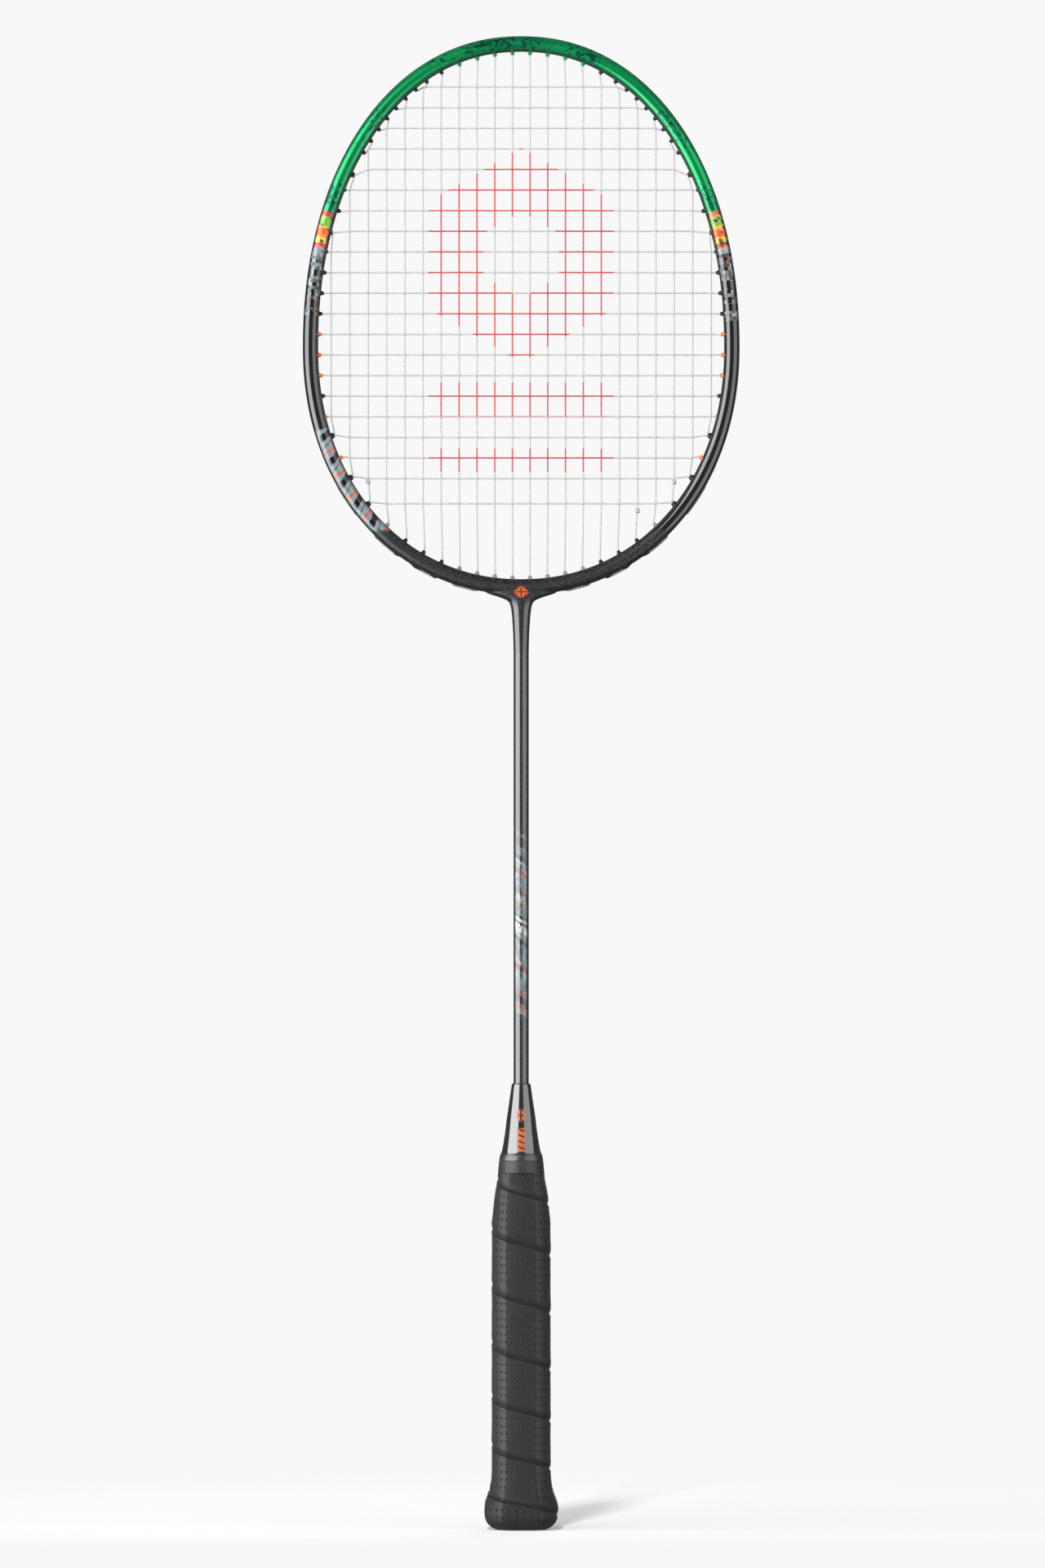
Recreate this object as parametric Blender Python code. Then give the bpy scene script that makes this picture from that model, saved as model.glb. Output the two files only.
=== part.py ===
"""Badminton racket, 675 mm long, standing on its butt with the head up. Units are metres, +Z runs from butt to head, the string bed faces -Y and +Y."""
import math

import bmesh
import bpy
from mathutils import Matrix, Vector

for old in list(bpy.data.objects):
    bpy.data.objects.remove(old, do_unlink=True)

MM = 0.001

# Head loop: centreline of the tube as a two-part superellipse
LOOP_HALF_WIDTH = 95.35
LOOP_MIDDLE_Z = 534.0
LOOP_UP = 137.45
LOOP_DOWN = 108.1
LOOP_POWER_UP = 2.13
LOOP_POWER_DOWN = 2.09
LOOP_STATIONS = 56

# Tube section: u points outwards in the plane of the strings, v along Y
TUBE_U = 3.55
TUBE_V = 5.1
TUBE_FLAT_V = 2.7
TUBE_FLAT_U = 1.5
GROOVE_V = 1.6
GROOVE_FLOOR = 1.75
HOLLOW_IN = -2.45
HOLLOW_OUT = 0.85
HOLLOW_V = 3.8

# Strings
MAIN_COUNT = 22
MAIN_STEP = 7.95
MAIN_SPREAD = 0.0225
CROSS_COUNT = 21
CROSS_TOP_Z = 652.0
CROSS_STEP = 9.32
CROSS_LAST_Z = 463.6
STRING_HALF = 0.27
WEAVE_LIFT = 0.8
LOOP_SEAT_U = 3.0
LANE_V = 0.75
SHARED_LANE_V = 0.5

# Grommets
BARREL_R = 1.15
BARREL_HOLE_R = 1.42
BORE_R = 0.707
SHARED_BARREL_R = 1.5
SHARED_HOLE_R = 1.78
SHARED_BORE_R = 1.12
BARREL_REACH = 1.7
SHOULDER_REACH = 0.7
CLEAR_OF_BARREL = 0.36
FLANGE_LOW = 1.95
FLANGE_TOP = 2.5
FLANGE_V = 1.35
FLANGE_HALF = 1.7
HOLE_PITCH = 6.4

# Shaft and throat
SHAFT_R = 3.45
SHAFT_BORE_R = 2.5
SHAFT_LOW_Z = 75.0
SHAFT_TOP_Z = 395.7
THROAT_LOW_Z = 396.0
SOCKET_R = 2.0
STEM_R = 1.7
ARM_HALF = 24.0

# Handle
CORE_BORE_R = 3.75
CORE_LOW_Z = 3.0
CORE_TOP_Z = 188.0
FACET_X = 0.56
FACET_Y = 0.5
DEPTH_SHARE = 0.89
WRAP_THICK = 1.6
GAP = 0.3


def power_loop(t):
    """Point of the centreline at angle t, clockwise from the top, in mm."""
    s, c = math.sin(t), math.cos(t)
    power = LOOP_POWER_UP if c >= 0 else LOOP_POWER_DOWN
    reach = LOOP_UP if c >= 0 else LOOP_DOWN
    x = LOOP_HALF_WIDTH * math.copysign(abs(s) ** (2 / power), s)
    z = LOOP_MIDDLE_Z + reach * math.copysign(abs(c) ** (2 / power), c)
    return Vector((x, 0, z))


def measured_loop(samples=7200):
    """The centreline at even steps of its own length, with the outward normal at each."""
    raw = [power_loop(2 * math.pi * i / samples) for i in range(samples + 1)]
    far = [0.0]
    for a, b in zip(raw, raw[1:]):
        far.append(far[-1] + (b - a).length)
    return raw, far


RAW, FAR = measured_loop()
AROUND = FAR[-1]


def raw_at(s):
    s = s % AROUND
    low, high = 0, len(FAR) - 1
    while high - low > 1:
        middle = (low + high) // 2
        if FAR[middle] <= s:
            low = middle
        else:
            high = middle
    share = (s - FAR[low]) / (FAR[high] - FAR[low])
    return RAW[low].lerp(RAW[high], share)


def place(s, u=0.0, v=0.0):
    """A point beside the centreline: s mm round from the top, u outwards and v along Y."""
    ahead, behind = raw_at(s + 0.6), raw_at(s - 0.6)
    along = (ahead - behind).normalized()
    out = Vector((-along.z, 0, along.x))
    return raw_at(s) + out * u + Vector((0, v, 0))


def find_s(test, low, high):
    """The length round the loop at which test changes sign."""
    sign = test(low) > 0
    for _ in range(50):
        middle = (low + high) / 2
        if (test(middle) > 0) == sign:
            low = middle
        else:
            high = middle
    return (low + high) / 2


def material(name, colour, rough=0.5, metal=0.0):
    made = bpy.data.materials.new(name)
    made.use_nodes = True
    shader = made.node_tree.nodes["Principled BSDF"]
    shader.inputs["Base Color"].default_value = (*colour, 1)
    shader.inputs["Roughness"].default_value = rough
    shader.inputs["Metallic"].default_value = metal
    return made


def node(name, bm, made=None):
    bmesh.ops.recalc_face_normals(bm, faces=bm.faces)
    bmesh.ops.scale(bm, vec=(MM, MM, MM), verts=bm.verts)
    mesh = bpy.data.meshes.new(name)
    bm.to_mesh(mesh)
    bm.free()
    piece = bpy.data.objects.new(name, mesh)
    bpy.context.collection.objects.link(piece)
    if made:
        mesh.materials.append(made)
    else:
        piece.hide_render = True
        piece.display_type = "WIRE"
    return piece


def boolean(piece, cutter, operation="DIFFERENCE"):
    change = piece.modifiers.new(cutter.name, "BOOLEAN")
    change.operation = operation
    change.solver = "EXACT"
    change.object = cutter


def wire_ring(bm, points):
    """A closed ring of edges."""
    corners = [bm.verts.new(p) for p in points]
    return [bm.edges.new((corners[i - 1], corners[i])) for i in range(len(corners))]


def skin(bm, rings, closed=False):
    """Bridges rings of equal count in order. An open skin gets a cap at each end."""
    loops = [wire_ring(bm, ring) for ring in rings]
    for a, b in zip(loops, loops[1:]):
        bmesh.ops.bridge_loops(bm, edges=a + b)
    if closed:
        bmesh.ops.bridge_loops(bm, edges=loops[-1] + loops[0])
    else:
        bmesh.ops.contextual_create(bm, geom=loops[0])
        bmesh.ops.contextual_create(bm, geom=loops[-1])


def swept(bm, section, stations, closed=False):
    """A section of (u, v) pairs carried round the head loop."""
    skin(bm, [[place(s, u, v) for u, v in section] for s in stations], closed)


def lathe(bm, profile, sides):
    """A closed ring spun about the Z axis from (r, z) pairs, open along the axis."""
    ring = wire_ring(bm, [Vector((r, 0, z)) for r, z in profile])
    geom = list({v for edge in ring for v in edge.verts}) + ring
    turn = {"cent": (0, 0, 0), "axis": (0, 0, 1), "angle": 2 * math.pi, "steps": sides}
    bmesh.ops.spin(bm, geom=geom, use_merge=True, **turn)


def rod(bm, rows, sides):
    """A solid turned piece from (r, z) pairs: a disc extruded and scaled from row to row."""
    r, z = rows[0]
    at = Matrix.Translation((0, 0, z))
    start = bmesh.ops.create_circle(bm, cap_ends=True, segments=sides, radius=r, matrix=at)
    face = start["verts"][0].link_faces[0]
    for (r, z), (next_r, next_z) in zip(rows, rows[1:]):
        grown = bmesh.ops.extrude_face_region(bm, geom=[face])["geom"]
        if face.is_valid and next_z != rows[1][1]:
            bm.faces.remove(face)
        face = next(g for g in grown if isinstance(g, bmesh.types.BMFace))
        bmesh.ops.translate(bm, verts=face.verts, vec=(0, 0, next_z - z))
        bmesh.ops.scale(bm, verts=face.verts, vec=(next_r / r, next_r / r, 1))


def octagon(half_x, half_y, z):
    """The handle's section: wide flats in front and behind, narrower ones at the corners."""
    fx, fy = half_x * FACET_X, half_y * FACET_Y
    corners = [(fx, -half_y), (half_x, -fy), (half_x, fy), (fx, half_y)]
    corners += [(-fx, half_y), (-half_x, fy), (-half_x, -fy), (-fx, -half_y)]
    return [Vector((x, y, z)) for x, y in corners]


def prism(bm, s, u0, u1, r, sides=6):
    """A cylinder of few sides along the tube's outward direction at s."""
    base = place(s)
    out = (place(s, 1.0) - base).normalized()
    along = Vector((-out.z, 0, out.x))
    turned = Matrix((along, Vector((0, 1, 0)), out)).transposed().to_4x4()
    turned = Matrix.Translation(base + out * ((u0 + u1) / 2)) @ turned
    if sides == 4:
        turned = turned @ Matrix.Rotation(math.pi / 4, 4, "Z")
    elif sides == 6:
        turned = turned @ Matrix.Rotation(math.pi / 6, 4, "Z")
    shape = {"segments": sides, "radius1": r, "radius2": r, "depth": u1 - u0}
    bmesh.ops.create_cone(bm, cap_ends=True, matrix=turned, **shape)


# Where the strings lie
MAINS = []
for i in range(MAIN_COUNT // 2):
    k = i + 0.5
    MAINS.append(MAIN_STEP * k + MAIN_SPREAD * k * k)
CROSSES = [CROSS_TOP_Z - CROSS_STEP * i for i in range(CROSS_COUNT - 1)] + [CROSS_LAST_Z]

# Holes of the right side, as lengths round the loop. Each lies where its string meets the tube's inner face.
HALF_ROUND = AROUND / 2
WIDEST_S = find_s(lambda s: place(s).z - LOOP_MIDDLE_Z, 1.0, HALF_ROUND - 1)
TOP_S = [find_s(lambda s: place(s, -TUBE_U).x - x, 0.5, WIDEST_S) for x in MAINS]
LOW_S = [find_s(lambda s: x - place(s, -TUBE_U).x, WIDEST_S, HALF_ROUND - 0.5) for x in MAINS]
SIDE_S = [find_s(lambda s: z - place(s, -TUBE_U).z, 5.0, HALF_ROUND - 5) for z in CROSSES]

# Pairs of one main and one cross that share a hole, counted outwards and downwards from 0
SHARED_TOP = {9: 4, 10: 7}
SHARED_LOW = {10: 17, 9: 19, 8: 20}
for m, c in SHARED_TOP.items():
    TOP_S[m] = SIDE_S[c] = (TOP_S[m] + SIDE_S[c]) / 2
for m, c in SHARED_LOW.items():
    LOW_S[m] = SIDE_S[c] = (LOW_S[m] + SIDE_S[c]) / 2
SHARED_S = {round(TOP_S[m], 4) for m in SHARED_TOP} | {round(LOW_S[m], 4) for m in SHARED_LOW}



def eased(spots):
    """Moves neighbours that stand too close a little apart, for the strings to bend at the hole."""
    spots = sorted(spots)
    moved = list(spots)
    for _ in range(400):
        for i in range(len(moved) - 1):
            short = HOLE_PITCH - (moved[i + 1] - moved[i])
            if short > 0:
                moved[i] -= short / 2
                moved[i + 1] += short / 2
    return dict(zip(spots, moved))


EASED = eased({round(s, 4) for s in TOP_S + LOW_S + SIDE_S})
TOP_S = [EASED[round(s, 4)] for s in TOP_S]
LOW_S = [EASED[round(s, 4)] for s in LOW_S]
SIDE_S = [EASED[round(s, 4)] for s in SIDE_S]
SHARED_S = {round(EASED[s], 4) for s in SHARED_S}
HOLES = sorted({round(s, 4) for s in TOP_S + LOW_S + SIDE_S})
print([round(b - a, 1) for a, b in zip(HOLES, HOLES[1:])])
print("holes on one side", len(HOLES), "closest", min(b - a for a, b in zip(HOLES, HOLES[1:])))


def reach(s):
    """How far a barrel stands inside the tube: less where another string runs close by."""
    s = abs(s)
    if TOP_S[3] + 0.1 < s < SIDE_S[4] + 0.1:
        return SHOULDER_REACH
    if SIDE_S[4] < s < SIDE_S[17] - 0.1:
        room = place(s, -TUBE_U).x - MAINS[9 if s < SIDE_S[7] - 0.1 else 10]
        return min(max(room - 2.1, 0.2), BARREL_REACH)
    return BARREL_REACH


def hole_r(s, r, shared_r):
    return shared_r if round(abs(s), 4) in SHARED_S else r


CARBON = material("carbon", (0.03, 0.035, 0.03), 0.25)
JOINT = material("joint", (0.08, 0.08, 0.085), 0.5)
CONE = material("cone", (0.012, 0.012, 0.012), 0.2)
WOOD = material("wood", (0.55, 0.36, 0.18), 0.6)
WRAP = material("wrap", (0.06, 0.055, 0.055), 0.75)
CAP = material("cap", (0.02, 0.02, 0.02), 0.45)
BADGE = material("badge", (0.3, 0.31, 0.32), 0.3, 0.7)
STRING = material("string", (0.8, 0.8, 0.78), 0.4)
GREEN = material("green_nylon", (0.01, 0.35, 0.1), 0.4)
BLACK = material("black_nylon", (0.015, 0.015, 0.015), 0.45)
ORANGE = material("orange_nylon", (0.75, 0.22, 0.06), 0.45)
CLEAR = material("clear_nylon", (0.5, 0.5, 0.48), 0.35)

# Head frame: a hollow tube with an outer groove, joined to the throat and drilled
SECTION = [
    (-TUBE_U, -TUBE_FLAT_V),
    (-TUBE_FLAT_U, -TUBE_V),
    (TUBE_FLAT_U, -TUBE_V),
    (TUBE_U, -TUBE_FLAT_V),
    (TUBE_U, -GROOVE_V),
    (GROOVE_FLOOR, -GROOVE_V),
    (GROOVE_FLOOR, GROOVE_V),
    (TUBE_U, GROOVE_V),
    (TUBE_U, TUBE_FLAT_V),
    (TUBE_FLAT_U, TUBE_V),
    (-TUBE_FLAT_U, TUBE_V),
    (-TUBE_U, TUBE_FLAT_V),
]
ROUND = [AROUND * i / LOOP_STATIONS for i in range(LOOP_STATIONS)]
bm = bmesh.new()
swept(bm, SECTION, ROUND, closed=True)
frame = node("head_frame", bm, CARBON)

THROAT = [
    (396.0, 3.45, 3.45),
    (404.0, 3.65, 3.6),
    (410.7, 4.25, 4.05),
    (415.9, 5.0, 4.5),
    (419.6, 6.3, 4.8),
    (421.6, 9.0, 4.9),
    (423.0, 13.5, 4.9),
    (424.4, 15.0, 4.9),
]
bm = bmesh.new()
rings = []
for z, half_x, half_y in THROAT:
    ring = []
    for i in range(16):
        a = 2 * math.pi * (i + 0.5) / 16
        ring.append(Vector((half_x * math.cos(a), half_y * math.sin(a), z)))
    rings.append(ring)
skin(bm, rings)
boolean(frame, node("cut_throat", bm), "UNION")

bm = bmesh.new()
HOLLOW = [(HOLLOW_IN, -HOLLOW_V), (HOLLOW_OUT, -HOLLOW_V), (HOLLOW_OUT, HOLLOW_V), (HOLLOW_IN, HOLLOW_V)]
swept(bm, HOLLOW, ROUND, closed=True)
boolean(frame, node("cut_hollow", bm))

bm = bmesh.new()
rod(bm, [(SOCKET_R, THROAT_LOW_Z - 2), (SOCKET_R, 426.2)], 12)
boolean(frame, node("cut_socket", bm))

bm = bmesh.new()
SLOT = [(GROOVE_FLOOR, -GROOVE_V), (8.5, -GROOVE_V), (8.5, GROOVE_V), (GROOVE_FLOOR, GROOVE_V)]
for side in (1, -1):
    stations = [HALF_ROUND - side * a for a in (2.5, 7.0, 12.0, 17.0, 22.0)]
    swept(bm, SLOT, stations)
boolean(frame, node("cut_slot", bm))

bm = bmesh.new()
for s in HOLES:
    for way in (s, -s):
        prism(bm, way, -TUBE_U - 2, GROOVE_FLOOR + 0.6, hole_r(s, BARREL_HOLE_R, SHARED_HOLE_R))
boolean(frame, node("cut_string_holes", bm))

# T joint: arms in the hollow and a stem down into the shaft
bm = bmesh.new()
ARM = [(HOLLOW_IN + 0.3, -3.3), (HOLLOW_OUT - 0.3, -3.3), (HOLLOW_OUT - 0.3, 3.3), (HOLLOW_IN + 0.3, 3.3)]
swept(bm, ARM, [HALF_ROUND - ARM_HALF + ARM_HALF * i / 6 for i in range(13)])
joint = node("t_joint", bm, JOINT)
bm = bmesh.new()
rod(bm, [(2.2, 372.0), (2.2, 395.0), (STEM_R, 397.0), (STEM_R, 426.5)], 10)
boolean(joint, node("cut_stem", bm), "UNION")
bm = bmesh.new()
for s in LOW_S[:4]:
    for way in (s, -s):
        prism(bm, way, -TUBE_U - 2, TUBE_U, BARREL_HOLE_R)
boolean(joint, node("cut_joint_holes", bm))

# Shaft, cone, collar and handle
bm = bmesh.new()
lathe(bm, [(SHAFT_BORE_R, SHAFT_LOW_Z), (SHAFT_R, SHAFT_LOW_Z), (SHAFT_R, SHAFT_TOP_Z), (SHAFT_BORE_R, SHAFT_TOP_Z)], 20)
node("shaft", bm, CARBON)

CONE_OUT = [
    (10.05, 166.6),
    (9.45, 169.6),
    (8.9, 170.4),
    (8.1, 174.3),
    (7.0, 181.7),
    (6.1, 189.1),
    (5.0, 196.5),
    (4.25, 201.3),
]
CONE_IN = [(CORE_BORE_R, 201.3), (CORE_BORE_R, 188.5), (5.5, 188.3), (7.55, 166.6)]
bm = bmesh.new()
lathe(bm, CONE_OUT + CONE_IN, 24)
node("cone_cap", bm, CONE)

bm = bmesh.new()
lathe(bm, [(10.4, 161.4), (10.15, 166.2), (7.95, 166.2), (8.75, 161.4)], 24)
node("collar_band", bm, CAP)

WRAP_OUT = [
    (0.5, 13.2),
    (1.4, 15.2),
    (3.0, 16.4),
    (4.6, 16.85),
    (8.1, 17.0),
    (11.8, 16.6),
    (15.5, 15.35),
    (19.2, 14.2),
    (22.9, 13.65),
    (26.6, 13.5),
    (137.4, 13.5),
    (144.8, 12.75),
    (152.2, 12.0),
    (156.5, 11.2),
    (161.1, 10.55),
]
bm = bmesh.new()
rings = [octagon(half, half * DEPTH_SHARE, z) for z, half in WRAP_OUT]
inside = [(z, half - WRAP_THICK) for z, half in WRAP_OUT if z > 3.5]
inside = [(0.5, 12.35), (2.6, 12.6), (2.8, 14.6)] + inside
rings += [octagon(half, half * DEPTH_SHARE, z) for z, half in reversed(inside)]
skin(bm, rings, closed=True)
node("grip_wrap", bm, WRAP)

bm = bmesh.new()
rows = [(CORE_LOW_Z, 14.3)]
rows += [(z, half - WRAP_THICK - GAP) for z, half in WRAP_OUT if z > 3.5 and z < 160]
rings = [octagon(half, half * DEPTH_SHARE, z) for z, half in rows]
for r, z in ((7.2, 164.0), (7.1, 167.0), (5.2, CORE_TOP_Z)):
    fx, fy = r * 0.414, r * 0.414
    corners = [(fx, -r), (r, -fy), (r, fy), (fx, r), (-fx, r), (-r, fy), (-r, -fy), (-fx, -r)]
    rings.append([Vector((x * 0.96, y * 0.96, z)) for x, y in corners])
skin(bm, rings)
core = node("handle_core", bm, WOOD)
bm = bmesh.new()
rod(bm, [(CORE_BORE_R, SHAFT_LOW_Z - GAP), (CORE_BORE_R, CORE_TOP_Z + 3)], 20)
boolean(core, node("cut_core_bore", bm))

bm = bmesh.new()
rows = [(0.0, 11.4), (0.5, 12.0), (2.3, 12.0)]
skin(bm, [octagon(half, half * DEPTH_SHARE, z) for z, half in rows])
cap = node("butt_cap", bm, CAP)
bm = bmesh.new()
rod(bm, [(8.0, -1.0), (8.0, 1.2)], 24)
boolean(cap, node("cut_badge_seat", bm))
bm = bmesh.new()
rod(bm, [(7.6, 0.3), (7.6, 0.9)], 24)
node("butt_badge", bm, BADGE)


# Grommets: strips of several barrels on one flange, and single ones
def grommets(name, spots, made):
    spots = sorted(spots)
    bm = bmesh.new()
    first, last = spots[0] - FLANGE_HALF, spots[-1] + FLANGE_HALF
    if name.startswith("grommets_neck"):
        first, last = max(first, -HALF_ROUND + 2.95), min(last, HALF_ROUND - 2.95)
    steps = max(1, math.ceil((last - first) / 4.5))
    flange = [(FLANGE_LOW, -FLANGE_V), (FLANGE_TOP, -FLANGE_V), (FLANGE_TOP, FLANGE_V), (FLANGE_LOW, FLANGE_V)]
    swept(bm, flange, [first + (last - first) * i / steps for i in range(steps + 1)])
    piece = node(name, bm, made)
    bm = bmesh.new()
    bores = bmesh.new()
    for s in spots:
        middle = (FLANGE_LOW + FLANGE_TOP) / 2
        prism(bm, s, -TUBE_U - reach(s), middle, hole_r(s, BARREL_R, SHARED_BARREL_R))
        sides = 6 if round(abs(s), 4) in SHARED_S else 4
        bore_r = hole_r(s, BORE_R, SHARED_BORE_R)
        prism(bores, s, -TUBE_U - reach(s) - 1, FLANGE_TOP + 1, bore_r, sides)
    boolean(piece, node("cut_barrels_" + name, bm), "UNION")
    boolean(piece, node("cut_bores_" + name, bores))


ABOVE = [s for s in HOLES if s > TOP_S[3] + 0.1 and s <= round(SIDE_S[3], 4) + 0.1]
UPPER = [s for s in HOLES if s > SIDE_S[3] + 0.1 and s <= round(SIDE_S[11], 4) + 0.1]
SINGLE = [s for s in HOLES if s > SIDE_S[11] + 0.1 and s <= round(LOW_S[8], 4) + 0.1]
CLEAR_SPOT = [LOW_S[7]]
TRIO = [LOW_S[6], LOW_S[5], LOW_S[4]]
NECK = LOW_S[:4]
print("runs", len(ABOVE), len(UPPER), len(SINGLE), len(TRIO), len(NECK))
grommets("grommets_top", [s for s in TOP_S[:4]] + [-s for s in TOP_S[:4]], GREEN)
for side, way in (("right", 1), ("left", -1)):
    grommets("grommets_shoulder_" + side, [way * s for s in ABOVE], BLACK)
    grommets("grommets_upper_side_" + side, [way * s for s in UPPER], BLACK)
    for i, s in enumerate(SINGLE):
        orange = i in (0, 1, 2, 4, 6)
        grommets(f"grommet_side_{side}_{i + 1}", [way * s], ORANGE if orange else BLACK)
    grommets("grommet_low_" + side, [way * s for s in CLEAR_SPOT], CLEAR)
    grommets("grommets_lower_" + side, [way * s for s in TRIO], BLACK)
    grommets("grommets_neck_" + side, [way * s for s in NECK], CLEAR)


# Strings
def string_tube(name, path):
    """A square tube along a path, mitred at each point."""
    bm = bmesh.new()
    first = (path[1] - path[0]).normalized()
    across = first.cross(Vector((0, 1, 0))).normalized()
    up = across.cross(first).normalized()
    corners = ((1, 1), (-1, 1), (-1, -1), (1, -1))
    ring = [path[0] + across * (STRING_HALF * a) + up * (STRING_HALF * b) for a, b in corners]
    rings = [ring]
    for i in range(1, len(path)):
        back = (path[i] - path[i - 1]).normalized()
        ahead = (path[i + 1] - path[i]).normalized() if i + 1 < len(path) else back
        plane = (back + ahead).normalized()
        ring = [p + back * ((path[i] - p).dot(plane) / back.dot(plane)) for p in ring]
        rings.append(ring)
    skin(bm, rings)
    node(name, bm, STRING)


def through(s, lane, outwards):
    """The two points of a string in a hole, in the order it runs."""
    v = lane * SHARED_LANE_V if round(abs(s), 4) in SHARED_S else 0.0
    pair = [place(s, -TUBE_U - reach(s) - CLEAR_OF_BARREL, v), place(s, LOOP_SEAT_U, v)]
    return pair if outwards else pair[::-1]


def outside(s0, s1, lane):
    """The run in the groove between two holes."""
    way = 1 if s1 > s0 else -1
    a, b = s0 + way * 1.6, s1 - way * 1.6
    steps = max(1, math.ceil(abs(b - a) / 6))
    return [place(a + (b - a) * i / steps, LOOP_SEAT_U, lane * LANE_V) for i in range(steps + 1)]


def held(i):
    """The crosses that main i passes, top to bottom."""
    return [z for c, z in enumerate(CROSSES) if SIDE_S[c] > TOP_S[i] + 0.2 and SIDE_S[c] < LOW_S[i] - 0.2]


order = [-(i + 1) for i in reversed(range(11))] + [i + 1 for i in range(11)]
path = []
for n, signed in enumerate(order):
    i, side = abs(signed) - 1, (1 if signed > 0 else -1)
    x = side * MAINS[i]
    top, low = side * TOP_S[i], side * LOW_S[i]
    levels = held(i)
    high = min(levels[0] + 2, through(top, 1, False)[1].z - 2.5)
    deep = max(levels[-1] - 2, through(low, 1, False)[1].z + 2.5)
    ends = [Vector((x, 0, high)), Vector((x, 0, deep))]
    rising = n % 2 == 0
    if rising:
        path += through(low, 1, False) + ends[::-1] + through(top, 1, True)
    else:
        path += through(top, 1, False) + ends + through(low, 1, True)
    if n + 1 < len(order):
        j, next_side = abs(order[n + 1]) - 1, (1 if order[n + 1] > 0 else -1)
        if rising:
            path += outside(top, next_side * TOP_S[j], 1)
        else:
            path += outside(low, next_side * LOW_S[j], 1)
string_tube("main_string", path)
print("main string length mm", round(sum((b - a).length for a, b in zip(path, path[1:]))))

path = []
for c, z in enumerate(CROSSES):
    s = SIDE_S[c]
    passed = [i for i in range(11) if TOP_S[i] < s - 0.2 and LOW_S[i] > s + 0.2]
    spots = [-MAINS[i] for i in reversed(passed)] + [MAINS[i] for i in passed]
    first = 11 - len(passed)
    bends = []
    for n, x in enumerate(spots):
        lift = WEAVE_LIFT if (n + first + c) % 2 else -WEAVE_LIFT
        bends.append(Vector((x, lift, z)))
    way = 1 if c % 2 == 0 else -1
    if way < 0:
        bends.reverse()
    path += through(-way * s, -1, False) + bends + through(way * s, -1, True)
    if c + 1 < CROSS_COUNT:
        path += outside(way * s, way * SIDE_S[c + 1], -1)
string_tube("cross_string", path)
print("cross string length mm", round(sum((b - a).length for a, b in zip(path, path[1:]))))

for piece in bpy.data.objects:
    if piece.name in ("shaft", "cone_cap", "collar_band", "butt_badge"):
        for face in piece.data.polygons:
            face.use_smooth = True
        piece.data.set_sharp_from_angle(angle=math.radians(30))
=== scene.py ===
# %% [markdown]
# A badminton racket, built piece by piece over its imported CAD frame. The CAD gives each piece's place and
# size in metres, with +Z from the butt to the head. The looks are made here: rounder shapes, paint,
# strings and the grip.

import math

import bmesh
import bpy
from mathutils import Matrix, Vector


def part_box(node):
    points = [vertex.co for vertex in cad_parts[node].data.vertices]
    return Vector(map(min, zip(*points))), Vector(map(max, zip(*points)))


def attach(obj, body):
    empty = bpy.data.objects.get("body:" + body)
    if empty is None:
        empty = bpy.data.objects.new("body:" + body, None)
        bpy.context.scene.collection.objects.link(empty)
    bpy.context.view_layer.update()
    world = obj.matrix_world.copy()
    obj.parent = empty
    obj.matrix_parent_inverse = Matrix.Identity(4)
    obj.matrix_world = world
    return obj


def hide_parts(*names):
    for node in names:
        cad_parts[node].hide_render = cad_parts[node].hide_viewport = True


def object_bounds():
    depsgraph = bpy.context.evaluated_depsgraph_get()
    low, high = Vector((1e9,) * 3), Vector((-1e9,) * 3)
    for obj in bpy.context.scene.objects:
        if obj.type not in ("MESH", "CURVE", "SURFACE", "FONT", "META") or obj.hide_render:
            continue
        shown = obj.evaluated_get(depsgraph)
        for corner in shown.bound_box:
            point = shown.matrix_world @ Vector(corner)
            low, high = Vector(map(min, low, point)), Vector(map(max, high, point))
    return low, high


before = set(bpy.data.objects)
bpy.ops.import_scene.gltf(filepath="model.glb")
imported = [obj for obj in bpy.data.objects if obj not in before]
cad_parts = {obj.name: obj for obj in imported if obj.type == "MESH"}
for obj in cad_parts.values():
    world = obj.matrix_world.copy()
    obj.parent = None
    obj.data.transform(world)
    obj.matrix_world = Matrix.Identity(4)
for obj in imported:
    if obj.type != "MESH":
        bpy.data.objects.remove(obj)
cad_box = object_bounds()
print("CAD box", [[round(c, 4) for c in corner] for corner in cad_box])

# %% [markdown]
# Paint comes first, because every piece needs it. Shader arithmetic is easier to read as an expression
# than as a list of links, so one small class stands for a socket, and + - * / on it add Math nodes. A
# second class holds a material.

# %% Shader helpers
MM = 0.001


class Signal:
    """A socket's value. Arithmetic on it adds Math nodes to the same material."""

    def __init__(self, paint, socket):
        self.paint = paint
        self.socket = socket

    def math(self, operation, *others):
        return self.paint.math(operation, self, *others)

    def __add__(self, other):
        return self.math("ADD", other)

    def __sub__(self, other):
        return self.math("SUBTRACT", other)

    def __rsub__(self, other):
        return self.paint.math("SUBTRACT", other, self)

    def __mul__(self, other):
        return self.math("MULTIPLY", other)

    def __truediv__(self, other):
        return self.math("DIVIDE", other)

    def __gt__(self, other):
        return self.math("GREATER_THAN", other)

    def __lt__(self, other):
        return self.math("LESS_THAN", other)

    def __abs__(self):
        return self.math("ABSOLUTE")

    __radd__ = __add__
    __rmul__ = __mul__


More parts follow.
